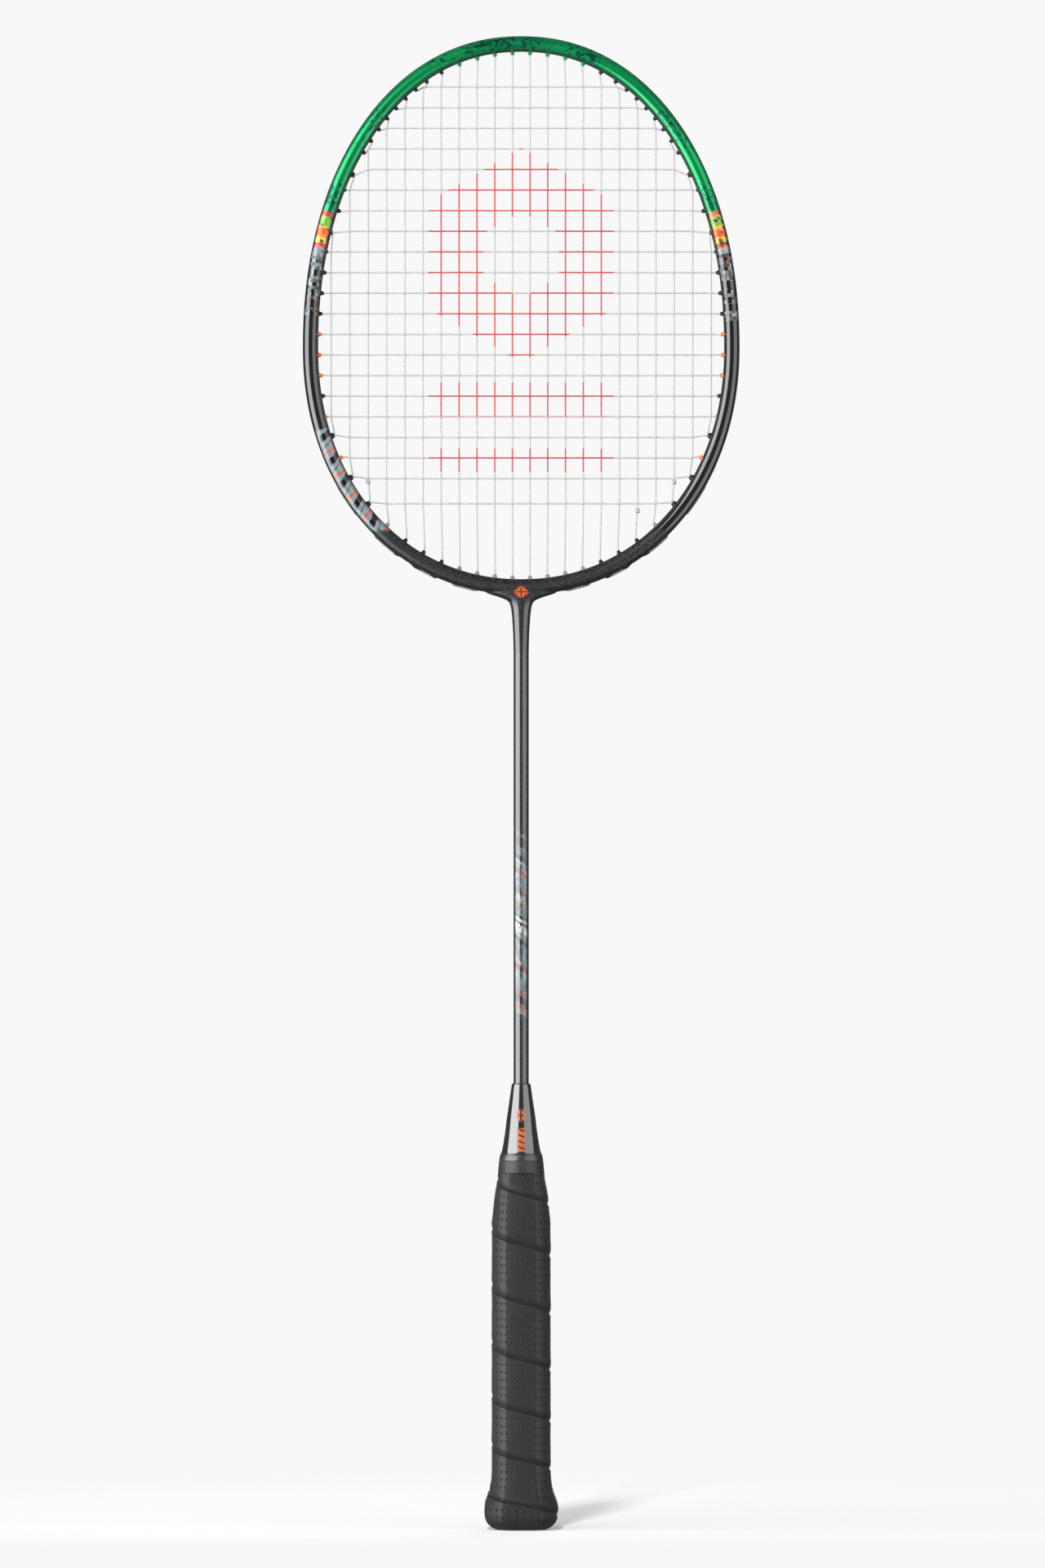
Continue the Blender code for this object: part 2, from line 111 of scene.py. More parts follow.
class Paint:
    """A material and the few ways this lesson adds nodes to it."""

    def __init__(self, name, **constants):
        self.material = bpy.data.materials.new(name)
        self.material.use_nodes = True
        self.tree = self.material.node_tree
        self.shader = self.tree.nodes["Principled BSDF"]
        for socket, value in constants.items():
            self.give(socket.replace("_", " "), value)

    def add(self, kind, settings=None, inputs=None, output=0):
        node = self.tree.nodes.new("ShaderNode" + kind)
        for name, value in (settings or {}).items():
            if name == "stops":
                ramp = node.color_ramp
                while len(ramp.elements) < len(value):
                    ramp.elements.new(0.5)
                for element, (place, colour) in zip(ramp.elements, value):
                    element.position = place
                    element.color = (*colour, 1)
            elif name == "steps":
                node.color_ramp.interpolation = value
            else:
                setattr(node, name, value)
        for name, value in (inputs or {}).items():
            self.feed(node.inputs[name], value)
        return Signal(self, node.outputs[output])

    def feed(self, socket, value):
        if isinstance(value, Signal):
            self.tree.links.new(value.socket, socket)
        elif socket.type == "RGBA" and len(value) == 3:
            socket.default_value = (*value, 1)
        else:
            socket.default_value = value

    def give(self, socket, value):
        self.feed(self.shader.inputs[socket], value)

    def math(self, operation, *values):
        return self.add("Math", {"operation": operation}, dict(enumerate(values)))

    def parts(self, spot):
        split = self.tree.nodes.new("ShaderNodeSeparateXYZ")
        self.feed(split.inputs[0], spot)
        return [Signal(self, part) for part in split.outputs]

    def place(self):
        """The piece's own place, as a vector and as its x, y and z, in metres."""
        spot = self.add("TexCoord", output=3)
        return spot, self.parts(spot)

    def strip(self):
        """The piece's own map, as a vector and as how far along and how far across."""
        spot = self.add("UVMap", {"uv_map": "run"})
        return spot, *self.parts(spot)[:2]

    def stretched(self, spot, scale):
        return self.add("Mapping", {}, {"Vector": spot, "Scale": scale})

    def noise(self, spot, scale, detail=2.0, roughness=0.5):
        sockets = {"Vector": spot, "Scale": scale, "Detail": detail, "Roughness": roughness}
        return self.add("TexNoise", {}, sockets)

    def blend(self, share, first, second):
        """first where share is 0 and second where it is 1, as a colour."""
        node = self.tree.nodes.new("ShaderNodeMix")
        node.data_type = "RGBA"
        self.feed(node.inputs[0], share)
        self.feed(node.inputs[6], first)
        self.feed(node.inputs[7], second)
        return Signal(self, node.outputs[2])

    def soft(self, value, low, high):
        """0 below low, 1 above high, and a smooth rise between them."""
        sockets = {"Value": value, "From Min": low, "From Max": high}
        return self.add("MapRange", {"interpolation_type": "SMOOTHSTEP"}, sockets)

    def bump(self, height, strength, distance):
        sockets = {"Height": height, "Strength": strength, "Distance": distance}
        self.give("Normal", self.add("Bump", {}, sockets))


def within(value, low, high):
    """1 between low and high, else 0."""
    return (value > low) * (value < high)


print("a Signal is one socket, a Paint is one material")

# %% [markdown]
# The head is one long oval. Half of it above the widest place and half below are superellipses, which are
# ellipses with slightly fuller shoulders. The size comes from the CAD node's box. A place on the oval is
# given by s, the distance round from the top, by u, outwards from the tube's centreline, and by v, along
# Y.

# %% The head's centreline
TUBE_U, TUBE_V = 3.55, 5.1
head_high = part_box("head_frame")[1]
HALF_WIDTH = head_high[0] / MM - TUBE_U
MIDDLE_Z = 534.0
UP = head_high[2] / MM - TUBE_U - MIDDLE_Z
DOWN = 108.1
POWER_UP, POWER_DOWN = 2.13, 2.09
OVAL_STEPS = 7200
NEARBY = 0.6


def oval(t):
    s, c = math.sin(t), math.cos(t)
    power, reach = (POWER_UP, UP) if c >= 0 else (POWER_DOWN, DOWN)
    x = HALF_WIDTH * math.copysign(abs(s) ** (2 / power), s)
    z = MIDDLE_Z + reach * math.copysign(abs(c) ** (2 / power), c)
    return Vector((x, 0, z))


OVAL = [oval(2 * math.pi * i / OVAL_STEPS) for i in range(OVAL_STEPS + 1)]
RUN = [0.0]
for start, stop in zip(OVAL, OVAL[1:]):
    RUN.append(RUN[-1] + (stop - start).length)
AROUND = RUN[-1]
HALF_ROUND = AROUND / 2


def centre(s):
    s = s % AROUND
    low, high = 0, len(RUN) - 1
    while high - low > 1:
        middle = (low + high) // 2
        low, high = (middle, high) if RUN[middle] <= s else (low, middle)
    return OVAL[low].lerp(OVAL[high], (s - RUN[low]) / (RUN[high] - RUN[low]))


def spot(s, u=0.0, v=0.0):
    along = (centre(s + NEARBY) - centre(s - NEARBY)).normalized()
    return centre(s) + Vector((-along.z * u, v, along.x * u))


print("round the head", round(AROUND, 1), "mm, half width", round(HALF_WIDTH, 2))

# %% [markdown]
# The racket has 22 main strings from top to bottom and 21 crosses. Their spacing grows a little towards
# the sides. A hole lies where a string meets the tube's inner face, and near the corners some mains and
# crosses share one hole.

# %% Where the strings and their holes lie
MAINS = [7.95 * (i + 0.5) + 0.0225 * (i + 0.5) ** 2 for i in range(11)]
CROSSES = [652.0 - 9.32 * i for i in range(20)] + [463.6]
HOLE_GAP = 6.4


def find(test, low, high):
    sign = test(low) > 0
    for _ in range(40):
        middle = (low + high) / 2
        low, high = (middle, high) if (test(middle) > 0) == sign else (low, middle)
    return (low + high) / 2


WIDEST = find(lambda s: spot(s).z - MIDDLE_Z, 1.0, HALF_ROUND - 1)
top_s = [find(lambda s: spot(s, -TUBE_U).x - x, 0.5, WIDEST) for x in MAINS]
low_s = [find(lambda s: x - spot(s, -TUBE_U).x, WIDEST, HALF_ROUND - 0.5) for x in MAINS]
side_s = [find(lambda s: z - spot(s, -TUBE_U).z, 5.0, HALF_ROUND - 5) for z in CROSSES]
SHARED_TOP, SHARED_LOW = {9: 4, 10: 7}, {10: 17, 9: 19, 8: 20}
for m, c in SHARED_TOP.items():
    top_s[m] = side_s[c] = (top_s[m] + side_s[c]) / 2
for m, c in SHARED_LOW.items():
    low_s[m] = side_s[c] = (low_s[m] + side_s[c]) / 2

spots = sorted({round(s, 4) for s in top_s + low_s + side_s})
moved = list(spots)
for _ in range(400):
    for i in range(len(moved) - 1):
        short = HOLE_GAP - (moved[i + 1] - moved[i])
        if short > 0:
            moved[i] -= short / 2
            moved[i + 1] += short / 2
eased = dict(zip(spots, moved))
top_s, low_s, side_s = ([eased[round(s, 4)] for s in row] for row in (top_s, low_s, side_s))
SHARED = {round(top_s[m], 3) for m in SHARED_TOP} | {round(low_s[m], 3) for m in SHARED_LOW}
HOLES = sorted({round(s, 4) for s in top_s + low_s + side_s})
print("holes", 2 * len(HOLES), "of which shared", 2 * len(SHARED))


def shared(s):
    return round(abs(s), 3) in SHARED


# %% [markdown]
# Most skins here are one grid, bent into place: a grid keeps its rows even, and its corners carry a map
# in metres that a pattern can follow. Where the grid's sides meet they are merged, so the skin is closed.

# %% Mesh helpers


def finish_mesh(name, bm, paint, nodes=(), smooth=40):
    """Turns a bmesh in millimetres into a piece that rides on the racket and stands for its CAD nodes."""
    bmesh.ops.remove_doubles(bm, verts=bm.verts, dist=0.0004)
    bmesh.ops.dissolve_degenerate(bm, edges=bm.edges, dist=0.0002)
    bmesh.ops.recalc_face_normals(bm, faces=bm.faces)
    bmesh.ops.scale(bm, vec=(MM, MM, MM), verts=bm.verts)
    mesh = bpy.data.meshes.new(name)
    bm.to_mesh(mesh)
    bm.free()
    for face in mesh.polygons:
        face.use_smooth = True
    mesh.set_sharp_from_angle(angle=math.radians(smooth))
    piece = bpy.data.objects.new(name, mesh)
    bpy.context.collection.objects.link(piece)
    mesh.materials.append(paint.material)
    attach(piece, "root")
    if nodes:
        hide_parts(*nodes)
    return piece


def bent_grid(bm, columns, rows, where, size=(1.0, 1.0), start=(0.0, 0.0)):
    """A grid whose point (a, b), each from 0 to 1, goes to where(a, b).

    The map 'run' holds start + (a, b) * size.
    """
    layer = bm.loops.layers.uv.get("run") or bm.loops.layers.uv.new("run")
    before = set(bm.faces)
    made = bmesh.ops.create_grid(bm, x_segments=columns, y_segments=rows, size=0.5)
    flat = {v: (v.co.x + 0.5, v.co.y + 0.5) for v in made["verts"]}
    for face in bm.faces:
        if face not in before:
            for loop in face.loops:
                a, b = flat[loop.vert]
                loop[layer].uv = (start[0] + a * size[0], start[1] + b * size[1])
    for vert, (a, b) in flat.items():
        vert.co = where(a, b)
    return made["verts"]


print("helpers: finish_mesh and bent_grid")

# %% [markdown]
# A round part is turned as on a lathe: the outline of its wall is spun about Z, and the last step is
# merged with the first. Some shapes are known at a few heights only, so a smooth curve is laid through
# those values. Its slopes are held back, so that it never swings past a value on its way to the next.

# %% Turning and smooth curves


def turned(bm, profile, steps):
    """A ring turned about the Z axis from (r, z) pairs, in order round the wall."""
    verts = [bm.verts.new((r, 0, z)) for r, z in profile]
    edges = [bm.edges.new((verts[i - 1], verts[i])) for i in range(len(verts))]
    bmesh.ops.spin(
        bm,
        geom=verts + edges,
        cent=(0, 0, 0),
        axis=(0, 0, 1),
        angle=2 * math.pi,
        steps=steps,
        use_merge=True,
    )


def smooth_between(table, at):
    """A smooth curve through (place, value) pairs."""
    table = sorted(table)
    at = min(max(at, table[0][0]), table[-1][0])
    for i in range(len(table) - 1):
        if at <= table[i + 1][0]:
            break
    (x0, y0), (x1, y1) = table[i], table[i + 1]

    def slope(j):
        if j == 0 or j == len(table) - 1:
            j0, j1 = max(j - 1, 0), min(j + 1, len(table) - 1)
            return (table[j1][1] - table[j0][1]) / (table[j1][0] - table[j0][0])
        left = (table[j][1] - table[j - 1][1]) / (table[j][0] - table[j - 1][0])
        right = (table[j + 1][1] - table[j][1]) / (table[j + 1][0] - table[j][0])
        return 0.0 if left * right <= 0 else 2 * left * right / (left + right)

    width = x1 - x0
    t = (at - x0) / width
    m0, m1 = slope(i) * width, slope(i + 1) * width
    rise = y0 * (2 * t**3 - 3 * t**2 + 1) + y1 * (3 * t**2 - 2 * t**3)
    return rise + m0 * (t**3 - 2 * t**2 + t) + m1 * (t**3 - t**2)


print("halfway from 0 to 1 the curve is at", smooth_between([(0, 0), (1, 1)], 0.5))

# %% [markdown]
# The frame is lacquered carbon fibre. A metallic green covers the top, with dark flecks in clusters.
# Bands of red, lime, orange and yellow close the green off, then a broken silver mosaic thins out into
# gloss black down the sides. Round the throat the lacquer is matt and faintly mottled, and the neck below
# it is as glossy as the shaft. The paint follows the tube's own map: `down` is the distance from the top
# along the tube, and `turn` runs from 0 on the outer side, over 1 in the middle of the front or back, to
# 2 on the inner side.

# %% Frame lacquer: where things are
def distance_down(z):
    return find(lambda s: centre(s).z - z, 1.0, HALF_ROUND - 1) * MM


GREEN_END = distance_down(595.6)
BANDS_END = distance_down(576.4)
MOSAIC_END = distance_down(546.0)
DECOR_START = distance_down(497.0)
TUBE_GIRTH = 0.028

lacquer = Paint("frame_lacquer", IOR=1.65, Coat_Roughness=0.05, Coat_IOR=1.9)
here, (x, y, z) = lacquer.place()
track, along, across = lacquer.strip()
down = HALF_ROUND * MM - abs(along - HALF_ROUND * MM)
turn = abs(across / TUBE_GIRTH - 0.5) * 4.0


def window(paint, value, low, high, edge):
    """1 between low and high, with a soft edge inside each."""
    return paint.soft(value, low, low + edge) * (1.0 - paint.soft(value, high - edge, high))


def cells(paint, u, v, width, height, seed=0.0):
    """A random number for each cell of a grid over u and v."""
    across_cell = (u / width).math("FLOOR")
    down_cell = (v / height).math("FLOOR")
    both = paint.add("CombineXYZ", {}, {"X": across_cell, "Y": down_cell, "Z": seed})
    return paint.add("TexWhiteNoise", {"noise_dimensions": "3D"}, {"Vector": both})


print("down the tube, the green ends at", round(GREEN_END, 3), "m")

# %% [markdown]
# The green is a metallic coat, so its highlights are green as well. Its colour is darkened on the tube's
# inner and outer sides as painted shade, for the dark edges of the round glossy tube. The flecks are noise
# above a threshold, kept to three zones, and the paler spots among them are painted highlights.

# %% Frame lacquer: green with flecks
fine = lacquer.noise(lacquer.stretched(track, (430, 620, 1)), 1.0, 2, 0.55)
patch = lacquer.noise(lacquer.stretched(track, (70, 70, 1)), 1.0, 1)
ZONES = [(0.6600, 0.7000, 0.003), (0.6205, 0.6440, 0.005), (0.5950, 0.6110, 0.003)]
zones = sum(window(lacquer, z, *zone) for zone in ZONES)
fleck = lacquer.soft(fine + (patch - 0.5) * 0.5, 0.55, 0.59) * zones
# painted highlights: pale green spots in the fleck zones
drops = lacquer.noise(lacquer.stretched(track, (420, 600, 2)), 1.0, 1)
fleck_highlight = lacquer.soft(drops, 0.60, 0.66) * zones
drift = lacquer.noise(lacquer.stretched(track, (28, 90, 1)), 1.0, 2)
green = lacquer.blend(lacquer.soft(drift, 0.35, 0.65), (0.004, 0.49, 0.135), (0.0, 0.37, 0.12))
green = lacquer.blend(fleck_highlight * 0.45, green, (0.05, 0.55, 0.36))
green = lacquer.blend(fleck * 0.80, green, (0.002, 0.035, 0.060))
# painted shade: the tube's inner and outer sides are darkened in the colour
edge_shade = 1.0 - window(lacquer, turn, 0.38, 1.52, 0.28)
green = lacquer.blend(edge_shade * 0.9, green, (0.002, 0.035, 0.018))
print("fleck zones", len(ZONES))

# %% [markdown]
# The bands are one colour ramp along the tube. Small cells of a darker and a paler tone break each band
# up, as in the real transfer. Below them the mosaic is drawn the same way, and further down more of its
# rows are left out.

# %% Frame lacquer: bands and mosaic
band_place = lacquer.add("MapRange", {}, {"Value": down, "From Min": GREEN_END, "From Max": BANDS_END})
BANDS = [
    (0.0, (0.46, 0.030, 0.040)),
    (0.12, (0.13, 0.36, 0.04)),
    (0.35, (0.62, 0.40, 0.015)),
    (0.40, (0.70, 0.09, 0.012)),
    (0.61, (0.58, 0.41, 0.02)),
    (0.75, (0.40, 0.02, 0.06)),
    (0.87, (0.17, 0.24, 0.27)),
]
bands = lacquer.add("ValToRGB", {"stops": BANDS, "steps": "CONSTANT"}, {"Fac": band_place})
chance = cells(lacquer, across, along + across * 0.35, 0.0017, 0.0013)
bands = lacquer.blend((chance > 0.80) * 0.85, bands, (0.015, 0.02, 0.015))
bands = lacquer.blend((chance < 0.22) * 0.45, bands, (0.60, 0.40, 0.10))
# painted shade: the bands are darkened on the tube's inner and outer sides, as the green is
bands = lacquer.blend(edge_shade * 0.85, bands, (0.01, 0.01, 0.01))

MOSAIC = [
    (0.0, (0.004, 0.004, 0.005)),
    (0.36, (0.13, 0.16, 0.17)),
    (0.56, (0.03, 0.033, 0.036)),
    (0.64, (0.22, 0.26, 0.27)),
    (0.78, (0.12, 0.04, 0.02)),
    (0.84, (0.06, 0.12, 0.12)),
    (0.90, (0.20, 0.02, 0.03)),
    (0.93, (0.12, 0.13, 0.135)),
]
pick = cells(lacquer, across, along, 0.0012, 0.0015, 3.0)
wobble = lacquer.noise(lacquer.stretched(track, (300, 700, 1)), 1.0, 1)
pick = pick + (wobble - 0.5) * 0.1
mosaic = lacquer.add("ValToRGB", {"stops": MOSAIC, "steps": "CONSTANT"}, {"Fac": pick})
black = (0.004, 0.0042, 0.0046)
ROW_HEIGHT, ROWS_LOST = 0.0034, 0.32
row_chance = cells(lacquer, across, along, 1.0, ROW_HEIGHT, 5.0)
fade = lacquer.add("MapRange", {}, {"Value": down, "From Min": BANDS_END, "From Max": MOSAIC_END})
kept = (row_chance > fade * ROWS_LOST) * (down < MOSAIC_END) * window(lacquer, turn, 0.42, 1.62, 0.06)
dashes = lacquer.blend(kept, black, mosaic)
print("band stops", len(BANDS), "and mosaic stops", len(MOSAIC))

# %% [markdown]
# Low on the left side there is a silver strip with slanted black strokes and thin orange ticks. The
# strokes are plain and stand for no lettering. The throat is a matt black whose faint mottle is two tones
# of noise. The neck shares its graphite with the shaft, so one function makes it for both: near black,
# with a fine glitter of pale points.

# %% Frame lacquer: silver strip and throat
STROKE_PITCH = 0.0112
slant = (down + turn * 0.0012 - DECOR_START) / STROKE_PITCH
step = slant.math("FRACT")
stroke_noise = lacquer.noise(lacquer.stretched(track, (330, 520, 1)), 1.0, 1)
wedge = within(step + turn * 0.16 + (stroke_noise - 0.5) * 0.12, 0.46, 0.73) * (turn > 0.72)
hair = within(step + turn * 0.2, 0.96, 1.01)
tick = within(step + (stroke_noise - 0.5) * 0.03, 0.005, 0.095)
rough_edge = 1.42 + stroke_noise * 0.35
strip = window(lacquer, turn, 0.46, 1.9, 0.05) * (turn < rough_edge)
silver = lacquer.blend(stroke_noise, (0.12, 0.16, 0.18), (0.22, 0.27, 0.29))
silver = lacquer.blend(wedge, silver, black)
silver = lacquer.blend(hair * 0.9, silver, (0.03, 0.035, 0.04))
silver = lacquer.blend(tick, silver, (0.52, 0.065, 0.018))
decor = lacquer.blend(strip, black, silver)

glint = lacquer.soft(lacquer.noise(here, 1000.0, 2), 0.46, 0.66)
hue = lacquer.soft(lacquer.noise(here, 260.0, 1), 0.4, 0.6)
hue = lacquer.blend(hue, (0.024, 0.027, 0.042), (0.026, 0.034, 0.026))
matt_black = lacquer.blend(glint, (0.007, 0.0075, 0.0075), hue)


def graphite_tone(paint, here):
    """The shaft's grain, the glitter in it, and the colour of both together."""
    grain = paint.noise(here, 3000.0, 1)
    glitter = paint.soft(grain, 0.60, 0.70)
    return grain, glitter, paint.blend(glitter * 0.7, (0.010, 0.0115, 0.013), (0.085, 0.095, 0.105))


neck_black = graphite_tone(lacquer, here)[2]
print("strokes every", round(STROKE_PITCH / MM, 1), "mm")

# %% [markdown]
# Now the parts are laid over each other from the top down, each kept to its own stretch of the tube, and
# a plain orange lozenge is set on the neck. Shine follows colour: the green is metallic, print is duller
# than the clear lacquer round it, and the throat is matt.

# %% Frame lacquer: all of it together
colour = lacquer.blend(down > GREEN_END, green, bands)
colour = lacquer.blend(down > BANDS_END, colour, dashes)
in_decor = (x < 0.0) * (down > DECOR_START)
colour = lacquer.blend(in_decor, colour, decor)
bottom = 1.0 - lacquer.soft(z, 0.4505, 0.4525)
neck = 1.0 - lacquer.soft(z, 0.4150, 0.4215)
colour = lacquer.blend(bottom, colour, lacquer.blend(neck, matt_black, neck_black))
NECK_MARK_Z = 0.4236
lozenge = (abs(x) * 0.8 + abs(z - NECK_MARK_Z)) < 0.0030
split = (abs(x) < 0.00025) + (abs(z - NECK_MARK_Z) < 0.00025)
colour = lacquer.blend(lozenge * (1.0 - split), colour, (0.50, 0.075, 0.006))
lacquer.give("Base Color", colour)
painted = (down < GREEN_END) * (1.0 - edge_shade)
lacquer.give("Metallic", painted * 0.82)
matt = bottom * (1.0 - neck)
lacquer.give("Roughness", 0.11 + painted * 0.20 + matt * 0.30 + neck * 0.12)
printed = (down > GREEN_END) * kept.math("MAXIMUM", down < BANDS_END)
printed = printed + in_decor * strip * (1.0 - bottom)
lacquer.give("Coat Weight", 0.85 - (down < GREEN_END) * 0.65 - printed * 0.5 - matt * 0.72)
orange_peel = lacquer.noise(here, 700.0, 2)
lacquer.bump(orange_peel + glint * matt, 0.05, 0.0002)
print("frame lacquer nodes", len(lacquer.tree.nodes))

# %% [markdown]
# The tube is carried round the oval. Its section is a rounded box, deeper than it is wide, with a groove
# outside that guards the strings. The groove grows shallow towards the throat, where the real strings
# ride up and can be seen.

# %% Head tube
HEAD_STEPS, SECTION_STEPS = 300, 64
GROOVE_HALF, GROOVE_EASE = 1.45, 0.35
GROOVE_LEAST, GROOVE_MORE = 0.75, 0.95
THROAT_Z, THROAT_RISE = 442.0, 60.0


def above_throat(s):
    """0 at the throat, 1 where the sides begin."""
    return min(max((centre(s).z - THROAT_Z) / THROAT_RISE, 0), 1)


def groove_depth(s):
    return GROOVE_LEAST + GROOVE_MORE * above_throat(s)


def section(b, deep):
    """(u, v) of the tube's skin at share b of the way round it. b = 0.5 is the outer side."""
    a = 2 * math.pi * b
    power = 2.45
    c, s = -math.cos(a), math.sin(a)
    u = TUBE_U * math.copysign(abs(c) ** (2 / power), c)
    v = TUBE_V * math.copysign(abs(s) ** (2 / power), s)
    edge = min(max((GROOVE_HALF + GROOVE_EASE - abs(v)) / (2 * GROOVE_EASE), 0), 1)
    if u > 0:
        u -= deep * edge * edge * (3 - 2 * edge)
    return u, v


def on_tube(a, b):
    s = a * AROUND
    u, v = section(b, groove_depth(s))
    return spot(s, u, v)


bm = bmesh.new()
bent_grid(bm, HEAD_STEPS, SECTION_STEPS, on_tube, (AROUND * MM, TUBE_GIRTH))
print("head tube faces", len(bm.faces))

# %% [markdown]
# The throat piece is the foot of the same moulding. It rises from the shaft as a round neck, widens fast
# just under the tube and merges into it. Its half widths are given at a few heights, front to back and
# side to side.

# %% Throat
NECK_Z, NECK_TALL = 396.0, 28.6
NECK_ROUND, NECK_UP = 48, 40
NECK_MAP = 0.02
HALF_X = [(396.0, 3.45), (404.0, 3.65), (408.5, 3.9), (412.2, 4.15), (415.9, 4.55), (417.5, 4.9)]
HALF_X += [(418.8, 5.4), (419.6, 6.1), (420.3, 7.4), (421.0, 9.2), (421.8, 11.6), (422.8, 14.8)]
HALF_X += [(424.6, 17.5)]
HALF_Y = [(396.0, 3.45), (404.0, 3.6), (411.0, 4.1), (417.0, 4.6), (420.0, 4.75), (424.6, 4.8)]


def on_throat(a, b):
    z = NECK_Z + NECK_TALL * b
    angle = 2 * math.pi * a
    c, s = math.sin(angle), math.cos(angle)
    fat = 2 / (2.0 + 0.5 * b)
    px = smooth_between(HALF_X, z) * math.copysign(abs(c) ** fat, c)
    py = smooth_between(HALF_Y, z) * math.copysign(abs(s) ** fat, s)
    return Vector((px, py, z))


map_start = (HALF_ROUND * MM - NECK_MAP / 2, 0.0)
bent_grid(bm, NECK_ROUND, NECK_UP, on_throat, (NECK_MAP, TUBE_GIRTH), map_start)
bmesh.ops.remove_doubles(bm, verts=bm.verts, dist=0.0004)
bmesh.ops.holes_fill(bm, edges=[e for e in bm.edges if e.is_boundary], sides=60)
head = finish_mesh("head_loop", bm, lacquer, ["head_frame"], 50)
print("head loop faces", len(head.data.polygons))

# %% [markdown]
# A grommet is a small nylon tube with a flange. It keeps the sharp edge of the hole off the string. Green
# ones sit at the top, black ones on the shoulders, orange ones among black ones down the sides, and clear
# ones by the throat.

# %% Nylon for the grommets


def nylon(name, tint, rough=0.32, clear=0.0):
    paint = Paint(name, IOR=1.53, Subsurface_Weight=clear, Subsurface_Scale=0.002)
    here = paint.place()[0]
    cloud = paint.noise(here, 900.0, 2)
    paint.give("Base Color", paint.blend(cloud * 0.35, tint, tuple(c * 0.6 for c in tint)))
    paint.give("Roughness", rough + paint.noise(here, 2600.0, 1) * 0.16)
    paint.bump(cloud, 0.05, 0.0001)
    return paint


NYLONS = {
    "green_nylon": nylon("green_nylon", (0.005, 0.36, 0.12)),
    "black_nylon": nylon("black_nylon", (0.007, 0.007, 0.007), 0.4),
    "orange_nylon": nylon("orange_nylon", (0.72, 0.17, 0.04)),
    "clear_nylon": nylon("clear_nylon", (0.22, 0.22, 0.215), 0.28, 0.2),
}
print("nylons", len(NYLONS))

# %% [markdown]
# Each barrel is turned from a profile of its wall, with a rounded lip, then set along the tube's outward
# direction. The flange that joins the barrels of a strip lies in the groove.

# %% Grommets
BARREL_WALL = [(0.50, 0.05), (0.58, 0.0), (0.70, 0.10), (0.82, 0.5), (1.02, 1.2), (1.22, 1.9)]
BARREL_WALL += [(1.3, 5.3), (0.50, 5.3)]
SHARED_WIDER = 1.38
BARREL_STEPS, FLANGE_STEPS = 14, 12
FLANGE_END, FLANGE_HALF = 1.5, 1.25


def reach(s):
    """How far the barrel at s stands in from the tube."""
    s = abs(s)
    if top_s[3] + 0.1 < s < side_s[4] + 0.1:
        return 1.3
    if side_s[4] < s < side_s[17] - 0.1:
        room = spot(s, -TUBE_U).x - MAINS[9 if s < side_s[7] - 0.1 else 10]
        return min(max(room - 2.1, 0.5), 1.45)
    return 1.45


def frame_at(s, u):
    """A matrix whose Z runs outwards from the tube at s."""
    out = (spot(s, 1.0) - spot(s)).normalized()
    side = Vector((-out.z, 0, out.x))
    turn = Matrix((side, Vector((0, 1, 0)), out)).transposed().to_4x4()
    return Matrix.Translation(spot(s, u)) @ turn


def grommet_run(name, spots, slot):
    bm = bmesh.new()
    spots = sorted(spots)
    for s in spots:
        wide = SHARED_WIDER if shared(s) else 1.0
        before = set(bm.verts)
        turned(bm, [(r * wide, z) for r, z in BARREL_WALL], BARREL_STEPS)
        fresh = [v for v in bm.verts if v not in before]
        bmesh.ops.transform(bm, matrix=frame_at(s, -TUBE_U - reach(s)), verts=fresh)
    low_part = above_throat(spots[0])
    height = 3.75 - 1.25 * low_part
    first, last = spots[0] - FLANGE_END, spots[-1] + FLANGE_END
    steps = max(4, round(last - first))

    def on_flange(a, b):
        s = first + (last - first) * a
        near = min(abs(s - t) for t in spots)
        lift = 0.75 * (1 - low_part * 0.6) * max(0.0, 1 - near / 2.4)
        end = min(1.0, min(a, 1 - a) * (last - first) / 0.5)
        angle = 2 * math.pi * b
        u = height - 0.75 + (0.45 + lift) * math.sin(angle) * max(end, 0.35)
        return spot(s, u, FLANGE_HALF * math.cos(angle) * max(end, 0.7))

    bent_grid(bm, steps, FLANGE_STEPS, on_flange, ((last - first) * MM, 0.006))
    bmesh.ops.remove_doubles(bm, verts=bm.verts, dist=0.0004)
    bmesh.ops.holes_fill(bm, edges=[e for e in bm.edges if e.is_boundary], sides=FLANGE_STEPS)
    piece = finish_mesh("visual_" + name, bm, NYLONS[slot], [name], 45)
    return len(spots)


# %% [markdown]
# The holes are shared out into runs, and each run is one moulded strip. The right side is listed once,
# and the left side is its mirror image.

# %% All the grommets
TOP = top_s[:4]
ABOVE = [s for s in HOLES if top_s[3] + 0.1 < s <= side_s[3] + 0.1]
UPPER = [s for s in HOLES if side_s[3] + 0.1 < s <= side_s[11] + 0.1]
SINGLE = [s for s in HOLES if side_s[11] + 0.1 < s <= low_s[8] + 0.1]
BRIGHT = (0, 1, 2, 4, 6)
count = grommet_run("grommets_top", TOP + [-s for s in TOP], "green_nylon")
for side, way in (("right", 1), ("left", -1)):
    runs = [("grommets_shoulder_" + side, ABOVE, "black_nylon")]
    runs.append(("grommets_upper_side_" + side, UPPER, "black_nylon"))
    for i, s in enumerate(SINGLE):
        kind = "orange_nylon" if i in BRIGHT else "black_nylon"
        runs.append((f"grommet_side_{side}_{i + 1}", [s], kind))
    runs.append(("grommet_low_" + side, [low_s[7]], "clear_nylon"))
    runs.append(("grommets_lower_" + side, low_s[6:3:-1], "black_nylon"))
    runs.append(("grommets_neck_" + side, low_s[:4], "clear_nylon"))
    for name, places, kind in runs:
        count += grommet_run(name, [way * s for s in places], kind)
print("barrels", count)

